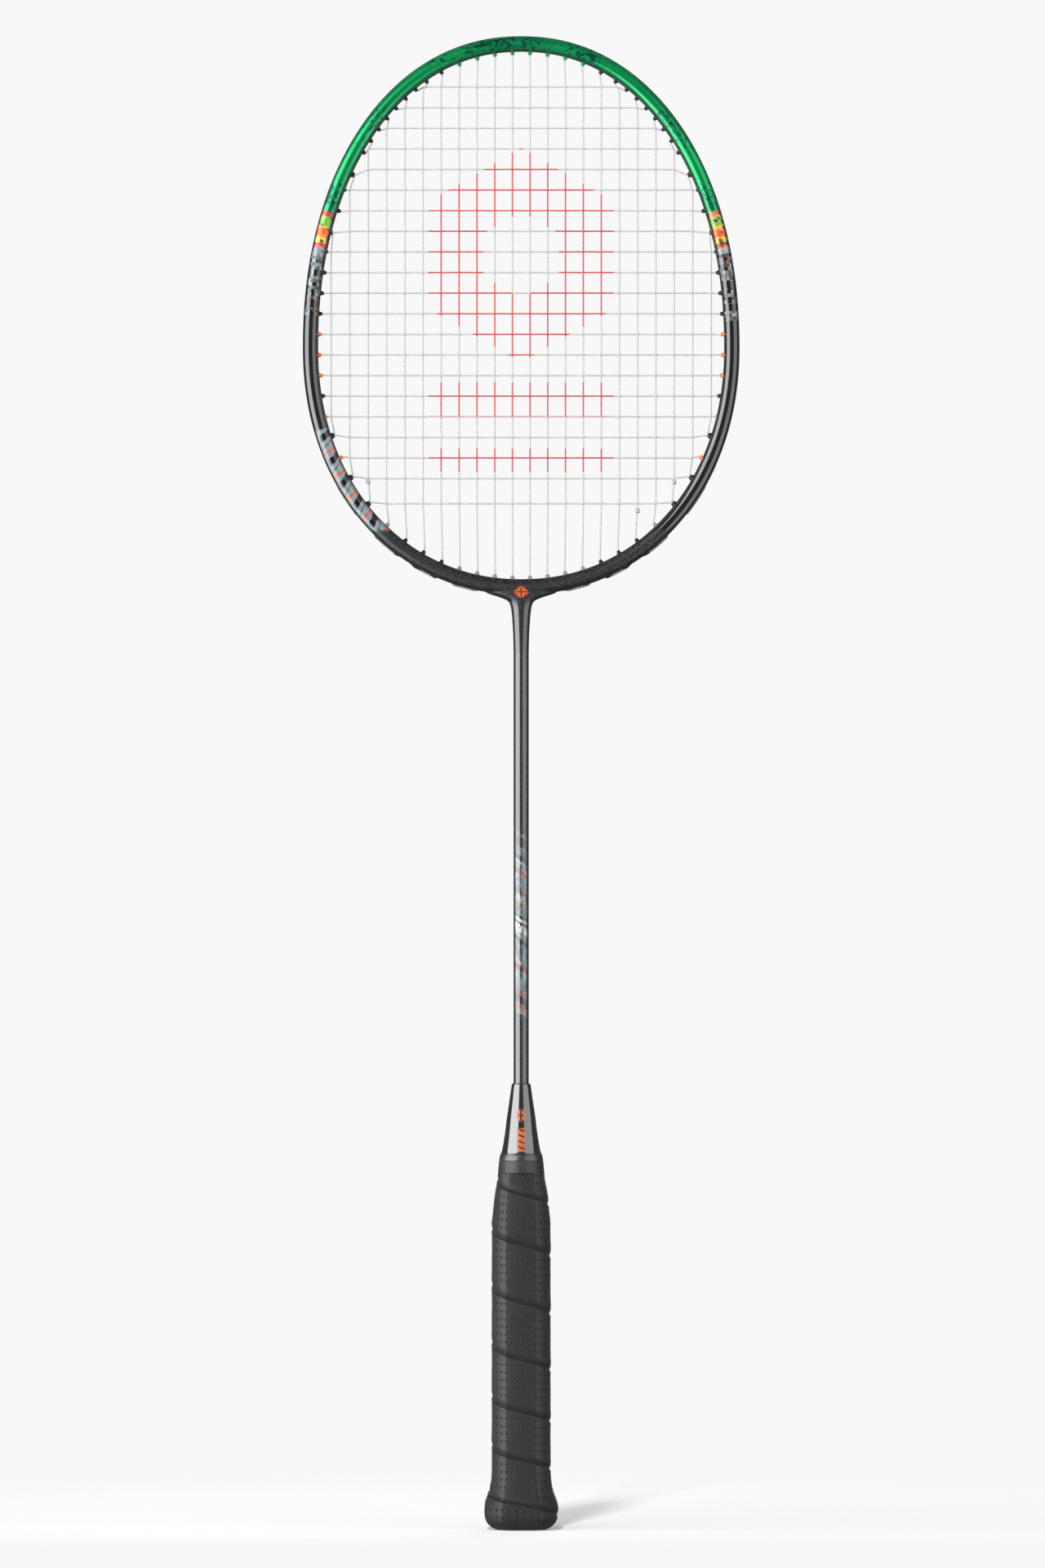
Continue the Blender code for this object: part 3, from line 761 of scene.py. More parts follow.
# %% [markdown]
# The strings are white multifilament nylon, 0.68 mm thick. One strand makes all the mains and one all the
# crosses, each going out through a hole, along the groove and back in through the next. A plain stencil
# in red is sprayed over the middle of the bed. Here it is a hexagon with a window and two bars below it,
# painted by the strings' own x and z.

# %% String nylon and its stencil
cord = Paint("string_nylon", IOR=1.53, Subsurface_Weight=0.15, Subsurface_Scale=0.001)
here, (x, y, z) = cord.place()
STENCIL_Z, STENCIL_HALF, WINDOW_HALF = 0.576, 0.042, 0.017
dx, dz = abs(x), abs(z - STENCIL_Z)
leaning = dx * 0.5 + dz * 0.866
hexagon = (dx < STENCIL_HALF) * (leaning < STENCIL_HALF)
inner = (dx < WINDOW_HALF) * (leaning < WINDOW_HALF)
bar = (dx < STENCIL_HALF) * (within(z, 0.503, 0.5185) + within(z, 0.478, 0.4885))
spray = cord.soft(cord.noise(here, 2400.0, 1), 0.30, 0.42)
ink = (hexagon - inner + bar) * (0.72 + spray * 0.2)
twist = cord.noise(cord.stretched(here, (1500, 1500, 1500)), 1.0, 1)
fibre = cord.blend(twist, (0.40, 0.40, 0.395), (0.50, 0.50, 0.49))
cord.give("Base Color", cord.blend(ink, fibre, (0.52, 0.03, 0.04)))
cord.give("Roughness", 0.34 + twist * 0.2)
cord.bump(twist, 0.1, 0.00008)
print("stencil", round(2 * STENCIL_HALF / MM), "mm wide")

# %% [markdown]
# A taut string runs straight between the places that hold it, so its path is a row of straight stretches
# with every corner rounded. A curve with a round bevel makes the tube.

# %% String helpers
STRING_R = 0.34
LANE_IN_HOLE, LANE_OUTSIDE = 0.42, 0.72
SEAT_OUT, SEAT_DROP = 3.85, 0.9


def rounded(path, radius):
    """The path with each corner cut off along a small curve."""
    made = [path[0]]
    for before, corner, after in zip(path, path[1:], path[2:]):
        into, out = corner - before, after - corner
        if into.length < 0.001 or out.length < 0.001 or into.angle(out) < 0.02:
            made.append(corner)
            continue
        cut = min(radius, into.length * 0.45, out.length * 0.45)
        start, stop = corner - into.normalized() * cut, corner + out.normalized() * cut
        parts = 4 if into.angle(out) > 0.6 else 2
        for i in range(parts + 1):
            t = i / parts
            made.append(start * (1 - t) ** 2 + corner * 2 * t * (1 - t) + stop * t**2)
    return made + [path[-1]]


def through(s, lane, outwards):
    """The string's way through the hole at s. Two strings in one hole keep to their own lanes."""
    v = lane * LANE_IN_HOLE if shared(s) else 0.0
    pair = [spot(s, -TUBE_U - reach(s) - 0.1, v), spot(s, seat(s), v)]
    return pair if outwards else pair[::-1]


def seat(s):
    """How far out from the tube's centreline the string lies in its groove."""
    return SEAT_OUT - SEAT_DROP * above_throat(s)


def outside(s0, s1, lane):
    """The string's way along the groove, from the hole at s0 to the hole at s1."""
    way = 1 if s1 > s0 else -1
    a, b = s0 + way * 1.2, s1 - way * 1.2
    steps = max(1, math.ceil(abs(b - a) / 3))
    return [spot(a + (b - a) * i / steps, seat(a), lane * LANE_OUTSIDE) for i in range(steps + 1)]


def strand(name, path, node):
    curve = bpy.data.curves.new(name, "CURVE")
    curve.dimensions = "3D"
    curve.bevel_depth = STRING_R * MM
    curve.bevel_resolution = 2
    curve.use_fill_caps = True
    line = curve.splines.new("POLY")
    line.points.add(len(path) - 1)
    for point, place in zip(line.points, path):
        point.co = (*(place * MM), 1)
    made = bpy.data.objects.new(name + "_line", curve)
    bpy.context.collection.objects.link(made)
    bpy.context.view_layer.update()
    mesh = bpy.data.meshes.new_from_object(made.evaluated_get(bpy.context.evaluated_depsgraph_get()))
    bpy.data.objects.remove(made)
    mesh.name = name
    mesh.materials.clear()
    mesh.materials.append(cord.material)
    piece = bpy.data.objects.new(name, mesh)
    bpy.context.collection.objects.link(piece)
    for face in mesh.polygons:
        face.use_smooth = True
    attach(piece, "root")
    if node:
        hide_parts(node)
    return piece


print("string", 2 * STRING_R, "mm thick")

# %% [markdown]
# The mains are laid first, from left to right, up one and down the next. A negative number in `order` is
# a string left of the middle.

# %% Main strings
HALF = len(MAINS)
order = [-i for i in range(HALF, 0, -1)] + list(range(1, HALF + 1))
path = []
for n, signed in enumerate(order):
    i, side = abs(signed) - 1, (1 if signed > 0 else -1)
    x, top, low = side * MAINS[i], side * top_s[i], side * low_s[i]
    rows = [z for c, z in enumerate(CROSSES) if top_s[i] + 0.2 < side_s[c] < low_s[i] - 0.2]
    high = min(rows[0], through(top, 1, True)[0].z - 3.0)
    deep = max(rows[-1], through(low, 1, True)[0].z + 3.0)
    ends = [Vector((x, 0, high)), Vector((x, 0, deep))]
    rising = n % 2 == 0
    if rising:
        path += through(low, 1, False) + ends[::-1] + through(top, 1, True)
    else:
        path += through(top, 1, False) + ends + through(low, 1, True)
    if n + 1 < len(order):
        j, far_side = abs(order[n + 1]) - 1, (1 if order[n + 1] > 0 else -1)
        path += outside(top if rising else low, far_side * (top_s[j] if rising else low_s[j]), 1)
mains = strand("main_strand", rounded(path, 1.1), "main_string")
print("main string faces", len(mains.data.polygons))

# %% [markdown]
# The crosses go over one main and under the next, and each row starts the other way from the row above
# it. At every crossing the cross moves aside by a whole string, because the mains stay straight.

# %% Cross strings
WEAVE = 0.69
path = []
for c, z in enumerate(CROSSES):
    s = side_s[c]
    passed = [i for i in range(HALF) if top_s[i] < s - 0.2 and low_s[i] > s + 0.2]
    columns = [-MAINS[i] for i in reversed(passed)] + [MAINS[i] for i in passed]
    first = HALF - len(passed)
    bends = []
    for n, x in enumerate(columns):
        bends.append(Vector((x, WEAVE if (n + first + c) % 2 else -WEAVE, z)))
    way = 1 if c % 2 == 0 else -1
    if way < 0:
        bends.reverse()
    path += through(-way * s, -1, False) + bends + through(way * s, -1, True)
    if c + 1 < len(CROSSES):
        path += outside(way * s, way * side_s[c + 1], -1)
crosses = strand("cross_strand", rounded(path, 1.6), "cross_string")
print("cross string faces", len(crosses.data.polygons))

# %% [markdown]
# Each strand ends in a small hitch round its neighbour, just inside the tube. A short coil of the same
# string stands for the knot.

# %% Knots
COIL_R, COIL_STEPS = 0.72, 12


def knot(name, at, turns=2.6, pitch=0.66):
    """A coil round a string that runs along Z, with its tail sticking out."""
    coil = []
    for i in range(round(turns * COIL_STEPS) + 1):
        angle = 2 * math.pi * i / COIL_STEPS
        rise = pitch * (i / COIL_STEPS - turns / 2)
        coil.append(at + Vector((COIL_R * math.cos(angle), COIL_R * math.sin(angle), rise)))
    coil.append(coil[-1] + Vector((1.0, -0.5, 0.5)))
    return strand(name, coil, None)


knots = [
    knot("main_knot_left", Vector((-MAINS[8], 0, 473.4))),
    knot("main_knot_right", Vector((MAINS[8], 0, 473.4))),
    knot("cross_knot_top", Vector((-MAINS[5], 0, 655.6))),
    knot("cross_knot_low", Vector((MAINS[6], 0, 460.4))),
]
print("knots", len(knots))

# %% [markdown]
# The shaft is a carbon tube under clear gloss, in graphite with a fine glitter. A decorated stretch runs
# up the front of its middle: one ramp along Z gives bands of silver blue, white, red and orange, and the
# height it reads is bent by x and by noise, so that the bands slant and break up like brush strokes.

# %% Shaft lacquer
shaft_low, shaft_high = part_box("shaft")
DECOR_FOOT, DECOR_HEAD = 0.2300, 0.3170
graphite = Paint("shaft_lacquer", IOR=1.8, Coat_Weight=0.85, Coat_Roughness=0.05, Coat_IOR=1.9)
here, (x, y, z) = graphite.place()
grain, glitter, ground = graphite_tone(graphite, here)
brush = graphite.noise(graphite.stretched(here, (420, 420, 70)), 1.0, 3, 0.6)
height = z + x * 0.75 + (brush - 0.5) * 0.0052
place = graphite.add("MapRange", {}, {"Value": height, "From Min": DECOR_FOOT, "From Max": DECOR_HEAD})
SILVER, PALE, WHITE = (0.15, 0.20, 0.225), (0.26, 0.31, 0.33), (0.60, 0.61, 0.60)
DARK, RED = (0.012, 0.014, 0.018), (0.33, 0.058, 0.032)
ROSE, AMBER = (0.28, 0.058, 0.064), (0.34, 0.135, 0.038)
STROKES = [
    (0.0, DARK), (0.025, SILVER), (0.05, AMBER), (0.075, DARK), (0.12, ROSE), (0.145, SILVER),
    (0.215, PALE), (0.255, RED), (0.268, DARK), (0.276, RED), (0.29, PALE), (0.345, SILVER),
    (0.395, DARK), (0.425, PALE), (0.455, WHITE), (0.50, DARK), (0.512, WHITE), (0.53, DARK),
    (0.545, SILVER), (0.59, AMBER), (0.605, PALE), (0.65, ROSE), (0.67, SILVER), (0.72, PALE),
    (0.75, RED), (0.77, PALE), (0.82, DARK), (0.85, SILVER), (0.90, DARK), (0.955, SILVER),
    (0.975, DARK),
]
stroke_colour = graphite.add("ValToRGB", {"stops": STROKES, "steps": "CONSTANT"}, {"Fac": place})
smoke = graphite.noise(graphite.stretched(here, (640, 640, 190)), 1.0, 3, 0.65)
worn = graphite.soft(smoke, 0.43, 0.57)
on_front = (1.0 - graphite.soft(abs(x), 0.0021, 0.0031)) * (y < 0.0)
shown = within(place, 0.0, 1.0) * on_front * (0.18 + worn * 0.70)
graphite.give("Base Color", graphite.blend(shown, ground, stroke_colour))
graphite.give("Metallic", glitter * 0.4)
graphite.give("Roughness", 0.19 + grain * 0.06 + shown * 0.15)
graphite.bump(graphite.noise(here, 600.0, 2), 0.04, 0.0001)
print("strokes on the shaft", len(STROKES))

# %% [markdown]
# The tube itself is plain: a wall spun about Z, with its lower edge eased. It reaches a little way into
# the T joint.

# %% Shaft
r_out = shaft_high[0] / MM
r_in = 2.5
INTO_JOINT = 0.4
z0, z1 = shaft_low[2] / MM, shaft_high[2] / MM + INTO_JOINT
bm = bmesh.new()
wall = [(r_in, z0), (r_out - 0.15, z0), (r_out, z0 + 0.3), (r_out, z1), (r_in, z1)]
turned(bm, wall, steps=64)
shaft = finish_mesh("shaft_tube", bm, graphite, ["shaft"], 50)
print("shaft", round(z1 - z0, 1), "mm long")

# %% [markdown]
# The cone cap is moulded in gloss black. It flares from the shaft to the handle, with a low rim at its
# foot. A narrow orange mark down the front is made of plain blocks.

# %% Cone plastic
gloss = Paint("cone_plastic", IOR=2.0, Coat_Roughness=0.04, Coat_IOR=2.2)
here, (x, y, z) = gloss.place()
smear = gloss.noise(here, 300.0, 2)
scuff = gloss.noise(here, 1500.0, 2)
CONE_MARK_Z, BLOCK_PITCH = 0.1871, 0.0027
aside = abs(x + 0.0001)
leaning = (z + x * 0.42) / BLOCK_PITCH
blocks = (aside < 0.0018) * within(z, 0.1707, 0.1814) * (leaning.math("FRACT") < 0.76)
lozenge = (aside * 1.25 + abs(z - CONE_MARK_Z)) < 0.0034
split = (aside < 0.0003) + (abs(z - CONE_MARK_Z) < 0.0003)
mark = (blocks + lozenge * (1.0 - split)) * (y < 0.0)
orange = gloss.blend(gloss.soft(scuff, 0.4, 0.6), (0.36, 0.055, 0.002), (0.50, 0.12, 0.006))
rim = 1.0 - gloss.soft(z, 0.1694, 0.1704)
body = gloss.blend(rim, (0.005, 0.0052, 0.0058), (0.014, 0.015, 0.017))
gloss.give("Base Color", gloss.blend(mark, body, orange))
gloss.give("Roughness", 0.13 + smear * 0.08 + rim * 0.22 + mark * 0.3)
gloss.give("Coat Weight", 0.9 - rim * 0.7 - mark * 0.75)
gloss.bump(smear + scuff * rim * 0.4, 0.03, 0.0002)
print("blocks every", round(BLOCK_PITCH / MM, 1), "mm")

# %% [markdown]
# The cone's wall is turned about Z. Its outer side is a smooth curve through a few radii, and its inner
# side is stepped, to fit round the shaft above and the handle's core below.

# %% Cone cap
cone_low, cone_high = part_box("cone_cap")
FLARE_Z, FLARE_TALL, FLARE_STEPS = 166.9, 34.0, 48
CONE_R = [(166.6, 10.0), (168.2, 9.72), (169.3, 9.42), (169.9, 9.05), (170.6, 8.82), (172.0, 8.5)]
CONE_R += [(174.3, 8.08), (178.0, 7.5), (181.7, 6.98), (185.4, 6.55), (189.1, 6.02), (192.8, 5.45)]
CONE_R += [(196.5, 4.92), (199.6, 4.5), (200.9, 4.25)]
heights = [FLARE_Z + FLARE_TALL * i / FLARE_STEPS for i in range(FLARE_STEPS + 1)]
outer = [(smooth_between(CONE_R, z), z) for z in heights]
wall = [(7.55, 166.6), (9.8, 166.6)] + outer + [(4.05, 201.3), (3.75, 201.3), (3.75, 188.5), (5.5, 188.3)]
bm = bmesh.new()
turned(bm, wall, steps=72)
cone = finish_mesh("cone", bm, gloss, ["cone_cap"], 40)
print("cone height", round((cone_high[2] - cone_low[2]) / MM, 1), "mm")

# %% [markdown]
# The grip is one strip of cushioned polyurethane, wound up the eight-sided handle from the butt. Each
# turn's lower edge laps over the turn below and leaves a slanting valley. The strip is punched with rows
# of small holes, except near its edges. The skin is a bent grid, and the valley is a real step in it. The
# grid's columns are evenly spaced round the handle, so that the holes stay round.

# %% Grip outline
wrap_low, wrap_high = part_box("grip_wrap")
DEPTH = wrap_high[1] / wrap_high[0]
FRONT_FLAT, SIDE_FLAT = 0.56, 0.50
GRIP_FOOT, GRIP_HEAD = wrap_low[2] / MM, wrap_high[2] / MM + 0.22
GRIP_R = [(0.5, 12.9), (1.0, 13.8), (1.9, 14.8), (3.0, 15.7), (4.6, 16.4), (6.5, 16.8), (8.1, 16.9)]
GRIP_R += [(11.8, 16.6), (15.5, 15.35), (19.2, 14.25), (22.9, 13.7), (27.0, 13.5), (80.0, 13.5)]
GRIP_R += [(137.4, 13.45), (144.8, 12.8), (152.2, 12.0), (156.5, 11.2), (161.1, 10.55)]
STRAIGHT_HALF, CORNER = 13.5, 2.6


def outline(hx, hy, corner, swell=0.0):
    """(point, normal) pairs round an octagon with rounded corners and bowed sides.

    The walk starts and ends in the middle of its back.
    """
    hx, hy = hx - swell, hy - swell
    fx, fy = hx * FRONT_FLAT, hy * SIDE_FLAT
    tips = [(fx, hy), (hx, fy), (hx, -fy), (fx, -hy), (-fx, -hy), (-hx, -fy), (-hx, fy), (-fx, hy)]
    tips = [Vector((*tip, 0)) for tip in tips]
    walk = []
    for i, tip in enumerate(tips):
        into, out = tip - tips[i - 1], tips[(i + 1) % 8] - tip
        n0 = Vector((-into.y, into.x, 0)).normalized()
        n1 = Vector((-out.y, out.x, 0)).normalized()
        middle = (n0 + n1).normalized()
        hub = tip - middle * (corner / middle.dot(n0))
        arc = [n0.lerp(n1, 0.1 + 0.8 * k / 6).normalized() for k in range(7)]
        start, stop = tip - into / 2, tip + out / 2
        for t in (0.0, 0.2, 0.4, 0.6, 0.8):
            walk.append((start.lerp(hub + arc[0] * corner, t) + n0 * swell * (1 - t * t), n0))
        walk += [(hub + n * corner, n) for n in arc]
        for t in (0.8, 0.6, 0.4, 0.2):
            walk.append((stop.lerp(hub + arc[-1] * corner, t) + n1 * swell * (1 - t * t), n1))
    return walk + [walk[0]]


def evenly(walk, count):
    """The walk cut into count equal steps."""
    lengths = [0.0]
    for (p, _), (q, _) in zip(walk, walk[1:]):
        lengths.append(lengths[-1] + (q - p).length)
    made, i = [], 0
    for k in range(count + 1):
        at = lengths[-1] * k / count
        while i < len(walk) - 2 and lengths[i + 1] < at:
            i += 1
        t = (at - lengths[i]) / max(lengths[i + 1] - lengths[i], 1e-9)
        t = min(max(t, 0.0), 1.0)
        (p, n), (q, m) = walk[i], walk[i + 1]
        made.append((p.lerp(q, t), n.lerp(m, t).normalized()))
    return made


GRIP_ROUND, GRIP_UP = 176, 440
SIDE_SWELL = 0.38
flat = [point for point, _ in outline(STRAIGHT_HALF, STRAIGHT_HALF * DEPTH, CORNER)]
GRIP_GIRTH = sum((q - p).length for p, q in zip(flat, flat[1:]))
print("grip girth", round(GRIP_GIRTH, 1), "mm")

# %% [markdown]
# The turns are not quite even: a hand-wound strip is pulled tighter near the butt. TURN_Z holds the
# height at which each turn's edge crosses the middle of the front. `lap` is the skin's depth at a share
# of a turn: a short slope down from the turn below, a low swell, and the full strip up to the next edge.

# %% Grip laps
TURN_Z = [-12.0, 11.8, 31.8, 53.6, 77.2, 103.0, 129.3, 151.8, 175.0]
LAP_DEPTH, LAP_EDGE = 0.9, 0.047


def turn_at(z, a):
    """How many turns of the strip lie below height z, at share a of the way round."""
    for i in range(len(TURN_Z) - 2):
        if z <= TURN_Z[i + 1]:
            break
    return i + (z - TURN_Z[i]) / (TURN_Z[i + 1] - TURN_Z[i]) - (a - 0.5)


def lap(turn):
    share = turn - math.floor(turn)
    if share > 1 - LAP_EDGE:
        t = (1 - share) / LAP_EDGE
        return LAP_DEPTH * (1 - t * t * (3 - 2 * t))
    t = min(share / 0.12, 1)
    swell = math.sin(math.pi * min(max((share - 0.09) / 0.16, 0), 1))
    return LAP_DEPTH * (1 - t) ** 1.5 - 0.10 * swell + 0.10


FOOT_EASE, HEAD_EASE = 7.0, 2.5
STRIP_THICK, CORE_HALF, INNER_FOOT, INNER_CORNER = 1.75, 8.0, 2.6, 1.4
ROWS = {}


def skin_row(b):
    """The height and the even outline at share b of the way up, worked out once for each row."""
    if b not in ROWS:
        z = GRIP_FOOT + (GRIP_HEAD - GRIP_FOOT) * b
        half = smooth_between(GRIP_R, z)
        corner = CORNER + 1.2 * max(0, (z - 140) / 21)
        ROWS[b] = z, evenly(outline(half, half * DEPTH, corner, SIDE_SWELL), GRIP_ROUND)
    return ROWS[b]


def on_grip(a, b):
    z, ring = skin_row(b)
    point, normal = ring[round(a * GRIP_ROUND)]
    edge = min(1.0, (z - GRIP_FOOT) / FOOT_EASE, (GRIP_HEAD - z) / HEAD_EASE)
    wave = 0.06 * math.sin(z * 0.37 + a * 6 * math.pi) * math.sin(z * 0.11 - a * 4 * math.pi)
    deep = lap(turn_at(z, a)) * edge + wave * edge + 0.05
    return Vector((point.x, point.y, z)) - normal * deep


def in_grip(a, b):
    z = GRIP_HEAD - (GRIP_HEAD - INNER_FOOT) * b
    half = max(smooth_between(GRIP_R, z) - STRIP_THICK, CORE_HALF)
    point, _ = evenly(outline(half, half * DEPTH, INNER_CORNER), GRIP_ROUND)[round(a * GRIP_ROUND)]
    return Vector((point.x, point.y, z))


wound = sum(math.hypot(GRIP_GIRTH, b - a) for a, b in zip(TURN_Z[1:], TURN_Z[2:]))
strip_length = wound * (GRIP_HEAD - GRIP_FOOT) / (TURN_Z[-1] - TURN_Z[1])
print("strip about", round(strip_length), "mm long")

# %% [markdown]
# The polyurethane is matt and faintly leathery. The holes are round dots in even rows, dark and sunk by
# bump. The skived edge in each valley is smooth and bare of holes, and painted darker as shade. The two
# narrow sides are painted darker too, as shade.

# %% Grip polyurethane
cushion = Paint("grip_polyurethane", IOR=1.48, Sheen_Weight=0.10, Sheen_Roughness=0.5)
here, (x, y, z) = cushion.place()
around, turns = cushion.strip()[1:]
HOLES_ROUND = 32
GRID_ACROSS, GRID_UP, HOLE_R = GRIP_GIRTH * MM / HOLES_ROUND, 0.00345, 0.00050
row = (z + x * 0.06) / GRID_UP
col = around / GRID_ACROSS
du = (col.math("FRACT") - 0.5) * GRID_ACROSS
dv = (row.math("FRACT") - 0.5) * GRID_UP
far = (du * du + dv * dv).math("SQRT")
turn_share = turns.math("FRACT")
punched = within(turn_share, 0.175, 0.915) * (z > 0.0022)
hole = (1.0 - cushion.soft(far, HOLE_R * 0.7, HOLE_R * 1.4)) * punched
grain = cushion.noise(here, 1500.0, 3, 0.6)
mottle = cushion.noise(here, 130.0, 2)
skin = cushion.blend(mottle, (0.014, 0.0132, 0.0128), (0.023, 0.0215, 0.021))
# painted shade: the two narrow sides of the handle are darkened in the colour
shaded_flank = cushion.soft(abs(x), 0.0085, 0.0105)
skin = cushion.blend(shaded_flank * 0.55, skin, (0.004, 0.004, 0.004))
# painted shade: each lap's valley is darkened in the colour
shaded_valley = 1.0 - cushion.soft(turn_share, 0.0, 0.10) + cushion.soft(turn_share, 0.955, 0.99)
skin = cushion.blend(shaded_valley * 0.85, skin, (0.003, 0.003, 0.003))
cushion.give("Base Color", cushion.blend(hole * 0.9, skin, (0.003, 0.003, 0.003)))
cushion.give("Roughness", 0.34 + grain * 0.16 + hole * 0.3 + shaded_valley * 0.2 + shaded_flank * 0.10)
cushion.bump(grain * 0.10 - hole, 0.5, 0.0004)
print("a row of holes every", round(GRID_UP / MM, 2), "mm")

# %% [markdown]
# The skin's outer and inner grids are joined at the top and the foot, so the strip is a closed sleeve.
# The outer grid's map is then written again as the two things that the finish reads: how far round the
# handle, in metres, and how many turns of the strip lie below.

# %% Grip
GRIP_MIDDLE = 80.0
bm = bmesh.new()
bent_grid(bm, GRIP_ROUND, GRIP_UP, on_grip, (1.0, 1.0))
layer = bm.loops.layers.uv["run"]
for face in bm.faces:
    for loop in face.loops:
        a, b = loop[layer].uv
        z = GRIP_FOOT + (GRIP_HEAD - GRIP_FOOT) * b
        loop[layer].uv = (a * GRIP_GIRTH * MM, turn_at(z, a) + 3)
bent_grid(bm, GRIP_ROUND, 24, in_grip, (0.0, 0.0))
bmesh.ops.remove_doubles(bm, verts=bm.verts, dist=0.0004)
high_edges = [e for e in bm.edges if e.is_boundary and e.verts[0].co.z > GRIP_MIDDLE]
deep_edges = [e for e in bm.edges if e.is_boundary and e.verts[0].co.z < GRIP_MIDDLE]
bmesh.ops.bridge_loops(bm, edges=high_edges)
bmesh.ops.bridge_loops(bm, edges=deep_edges)
grip = finish_mesh("grip_strip", bm, cushion, ["grip_wrap"], 60)
print("grip faces", len(grip.data.polygons))

# %% [markdown]
# A smooth band of tape holds the strip's top end. It is thin and soft, so it bulges a little over the lap
# beneath it.

# %% Collar band
tape = Paint("collar_tape", IOR=1.5, Coat_Weight=0.15, Coat_Roughness=0.3)
here = tape.place()[0]
wrinkle = tape.noise(tape.stretched(here, (120, 120, 900)), 1.0, 2)
tape.give("Base Color", tape.blend(wrinkle, (0.022, 0.022, 0.024), (0.040, 0.040, 0.043)))
tape.give("Roughness", 0.34 + wrinkle * 0.15)
tape.bump(wrinkle, 0.15, 0.0003)
BAND = [(8.75, 161.26), (10.38, 161.26), (10.44, 161.7), (10.36, 162.7), (10.22, 162.95), (10.29, 163.2)]
BAND += [(10.2, 164.4), (10.08, 165.9), (9.9, 166.35), (9.8, 166.62), (7.95, 166.62)]
bm = bmesh.new()
turned(bm, BAND, steps=72)
collar = finish_mesh("collar_tape_band", bm, tape, ["collar_band"], 60)
print("collar faces", len(collar.data.polygons))

# %% [markdown]
# The pieces that stay as the CAD made them still get a finish: bare ash for the core, moulded nylon for
# the T joint, grained plastic for the butt cap and brushed metal for the badge in its recess.

# %% Finishes of the kept CAD pieces
ash = Paint("ash_wood", IOR=1.45)
here = ash.place()[0]
ring = ash.noise(ash.stretched(here, (260, 260, 9)), 1.0, 4, 0.6)
ash.give("Base Color", ash.blend(ash.soft(ring, 0.35, 0.65), (0.44, 0.27, 0.13), (0.63, 0.45, 0.26)))
ash.give("Roughness", 0.55 + ring * 0.2)
ash.bump(ring, 0.15, 0.0003)

moulded = Paint("moulded_nylon", IOR=1.5)
here = moulded.place()[0]
pitting = moulded.noise(here, 1400.0, 2)
moulded.give("Base Color", moulded.blend(pitting, (0.010, 0.010, 0.0105), (0.022, 0.022, 0.023)))
moulded.give("Roughness", 0.42 + pitting * 0.2)
moulded.bump(pitting, 0.25, 0.0002)

brushed = Paint("brushed_metal", Metallic=1.0)
here = brushed.place()[0]
brush = brushed.noise(brushed.stretched(here, (90, 2600, 90)), 1.0, 2)
brushed.give("Base Color", brushed.blend(brush, (0.22, 0.23, 0.24), (0.36, 0.37, 0.38)))
brushed.give("Roughness", 0.26 + brush * 0.2)
FINISHES = {"handle_core": ash, "t_joint": moulded, "butt_cap": moulded, "butt_badge": brushed}
for node, paint in FINISHES.items():
    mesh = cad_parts[node].data
    mesh.materials.clear()
    mesh.materials.append(paint.material)
    print(node, "now wears", paint.material.name)

# %% [markdown]
# The surround is seen as an even pale grey, but it lights the racket only faintly, so that the panels can
# shape it. A Mix Shader driven by Is Camera Ray keeps the two apart.

# %% Surround
scene = bpy.context.scene
scene.view_settings.view_transform = "Standard"
world = bpy.data.worlds.new("surround")
scene.world = world
world.use_nodes = True
tree = world.node_tree
seen, felt = tree.nodes["Background"], tree.nodes.new("ShaderNodeBackground")
seen.inputs["Color"].default_value = (0.938, 0.938, 0.938, 1)
felt.inputs["Color"].default_value = (1, 1, 1, 1)
felt.inputs["Strength"].default_value = 0.10
ray, mix = tree.nodes.new("ShaderNodeLightPath"), tree.nodes.new("ShaderNodeMixShader")
tree.links.new(ray.outputs["Is Camera Ray"], mix.inputs[0])
tree.links.new(felt.outputs[0], mix.inputs[1])
tree.links.new(seen.outputs[0], mix.inputs[2])
tree.links.new(mix.outputs[0], tree.nodes["World Output"].inputs[0])
print("surround nodes", len(tree.nodes))

# %% [markdown]
# The racket stands on a pale floor. Its alpha falls off with distance and in front of the racket, so it
# has no visible edge, and a little glow of its own brings it up to the tone of the surround.

# %% Floor
FLOOR_R = 1.2
bm = bmesh.new()
bmesh.ops.create_circle(bm, cap_ends=True, segments=96, radius=FLOOR_R)
mesh = bpy.data.meshes.new("floor")
bm.to_mesh(mesh)
bm.free()
floor = bpy.data.objects.new("floor", mesh)
bpy.context.collection.objects.link(floor)
pale = Paint("pale_floor", Roughness=0.9, Specular_IOR_Level=0.0, Emission_Strength=0.29)
pale.give("Base Color", (0.70, 0.70, 0.69))
spread, (x, y, z) = pale.place()
behind = pale.soft(y, 0.0, 0.30)
pale.give("Emission Color", pale.blend(behind, (0.74, 0.74, 0.74), (1.0, 1.0, 1.0)))
distance = pale.add("VectorMath", {"operation": "LENGTH"}, {0: spread}, 1)
pale.give("Alpha", (1.0 - pale.soft(distance, 0.10, 0.50)) * pale.soft(y, -0.12, 0.0))
mesh.materials.append(pale.material)
UNDER = 0.0002
floor.location.z = cad_box[0][2] - UNDER
floor.visible_glossy = False
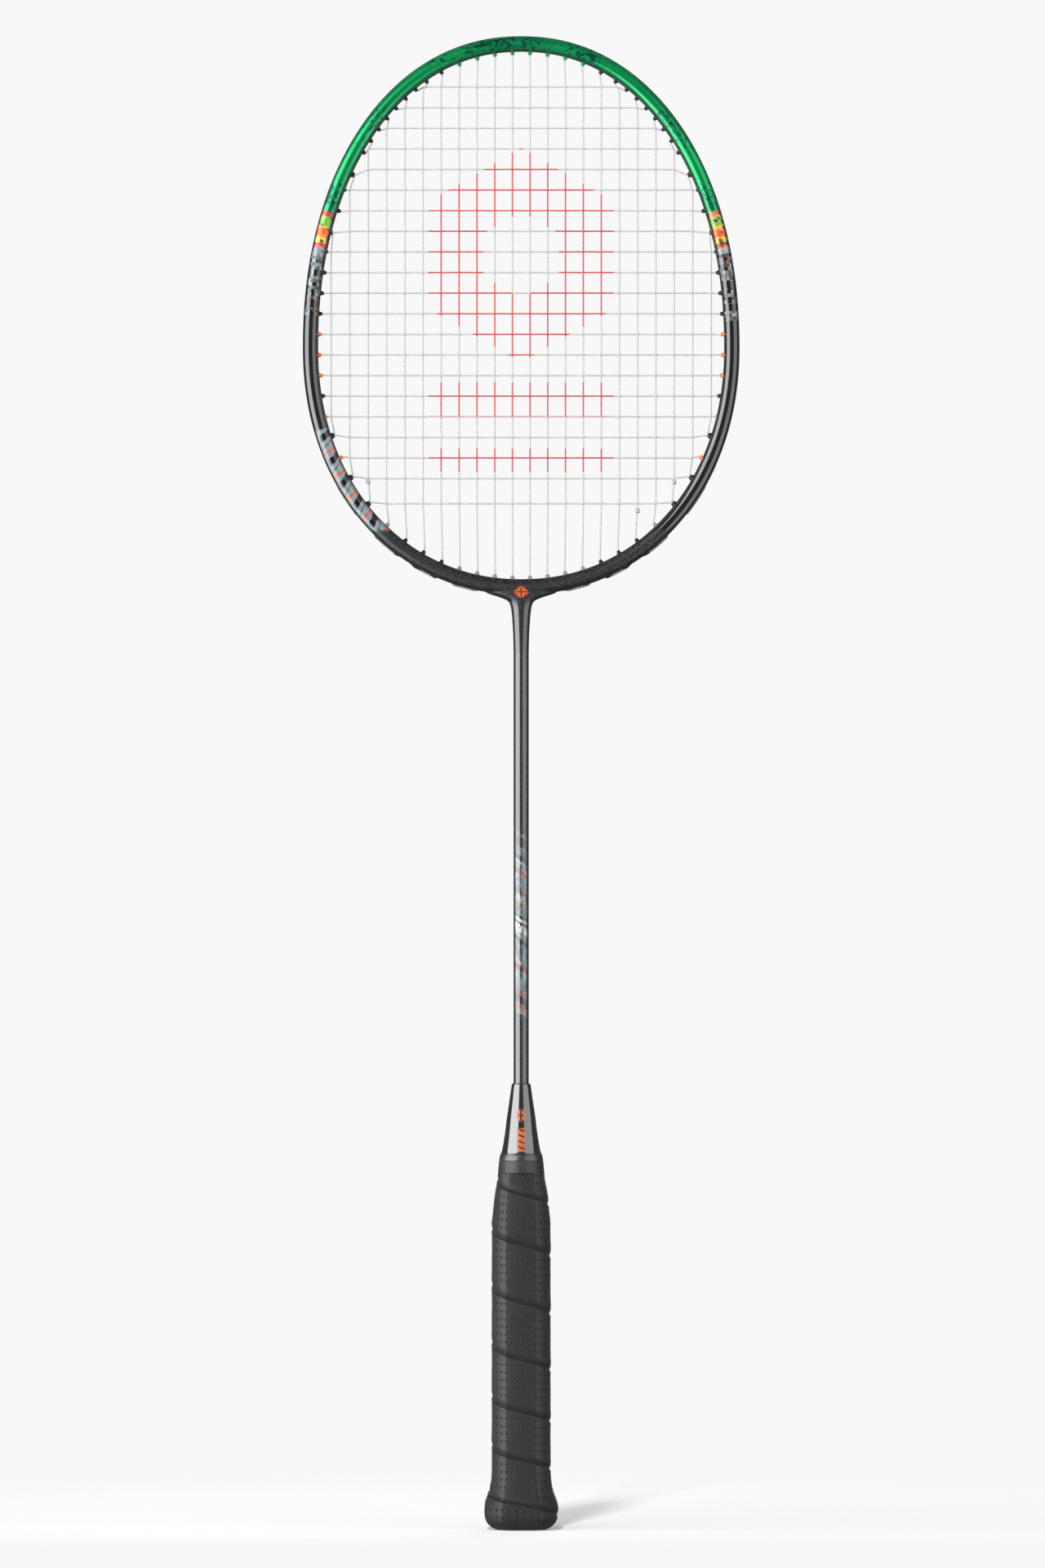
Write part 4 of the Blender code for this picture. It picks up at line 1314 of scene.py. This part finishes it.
print("floor", round(UNDER / MM, 1), "mm under the butt")

# %% [markdown]
# Two tall soft panels, one each side of the camera, draw the long highlights down the shaft and the tube.
# A weaker one behind lights the floor, and a small one high in front throws the short shadow behind the
# butt. Those two are kept out of reflections, where they would show as bright spots.

# %% Lights
RACKET_MIDDLE = 0.34


def panel(name, bearing, far, wide, tall, watts, height=RACKET_MIDDLE):
    """An area light that faces the racket. Its bearing is in degrees from the front, to the right."""
    light = bpy.data.lights.new(name, "AREA")
    light.shape = "RECTANGLE"
    light.size, light.size_y, light.energy = wide, tall, watts
    lamp = bpy.data.objects.new(name, light)
    bpy.context.collection.objects.link(lamp)
    angle = math.radians(bearing)
    lamp.location = (far * math.sin(angle), -far * math.cos(angle), height)
    aim = Vector((0, 0, RACKET_MIDDLE)) - lamp.location
    lamp.rotation_euler = aim.to_track_quat("-Z", "Y").to_euler()
    lamp.visible_camera = False
    return lamp


panel("left_panel", -57, 1.6, 2.2, 2.4, 50)
panel("right_panel", 53, 1.6, 1.9, 2.4, 15)
rear = panel("back_panel", 165, 1.8, 1.4, 1.6, 26)
rear.visible_glossy = False
key = panel("key_light", -12, 2.0, 0.26, 0.26, 60, 2.0)
key.visible_glossy = False
print("lights", len(bpy.data.lights))

# %% [markdown]
# The camera looks straight at the front from five metres away through a long lens, so nothing looks
# foreshortened. The lens is worked out from the racket's height and the margin left round it.

# %% Camera
lens = bpy.data.cameras.new("camera")
lens.sensor_fit = "VERTICAL"
lens.sensor_height = 36.0
FAR = 5.0
MARGIN = 0.7091 / 0.675
FRAME_TALL = (cad_box[1][2] - cad_box[0][2]) * MARGIN
lens.lens = lens.sensor_height * FAR / FRAME_TALL
lens.clip_end = 50
camera = bpy.data.objects.new("camera", lens)
bpy.context.collection.objects.link(camera)
camera.location = (0.0006, -FAR, 0.3368)
camera.rotation_euler = (math.radians(90), 0, 0)
scene.camera = camera
print("lens", round(lens.lens, 1), "mm")

# %% [markdown]
# Last, the view layer is brought up to date.

# %% Finish
bpy.context.view_layer.update()
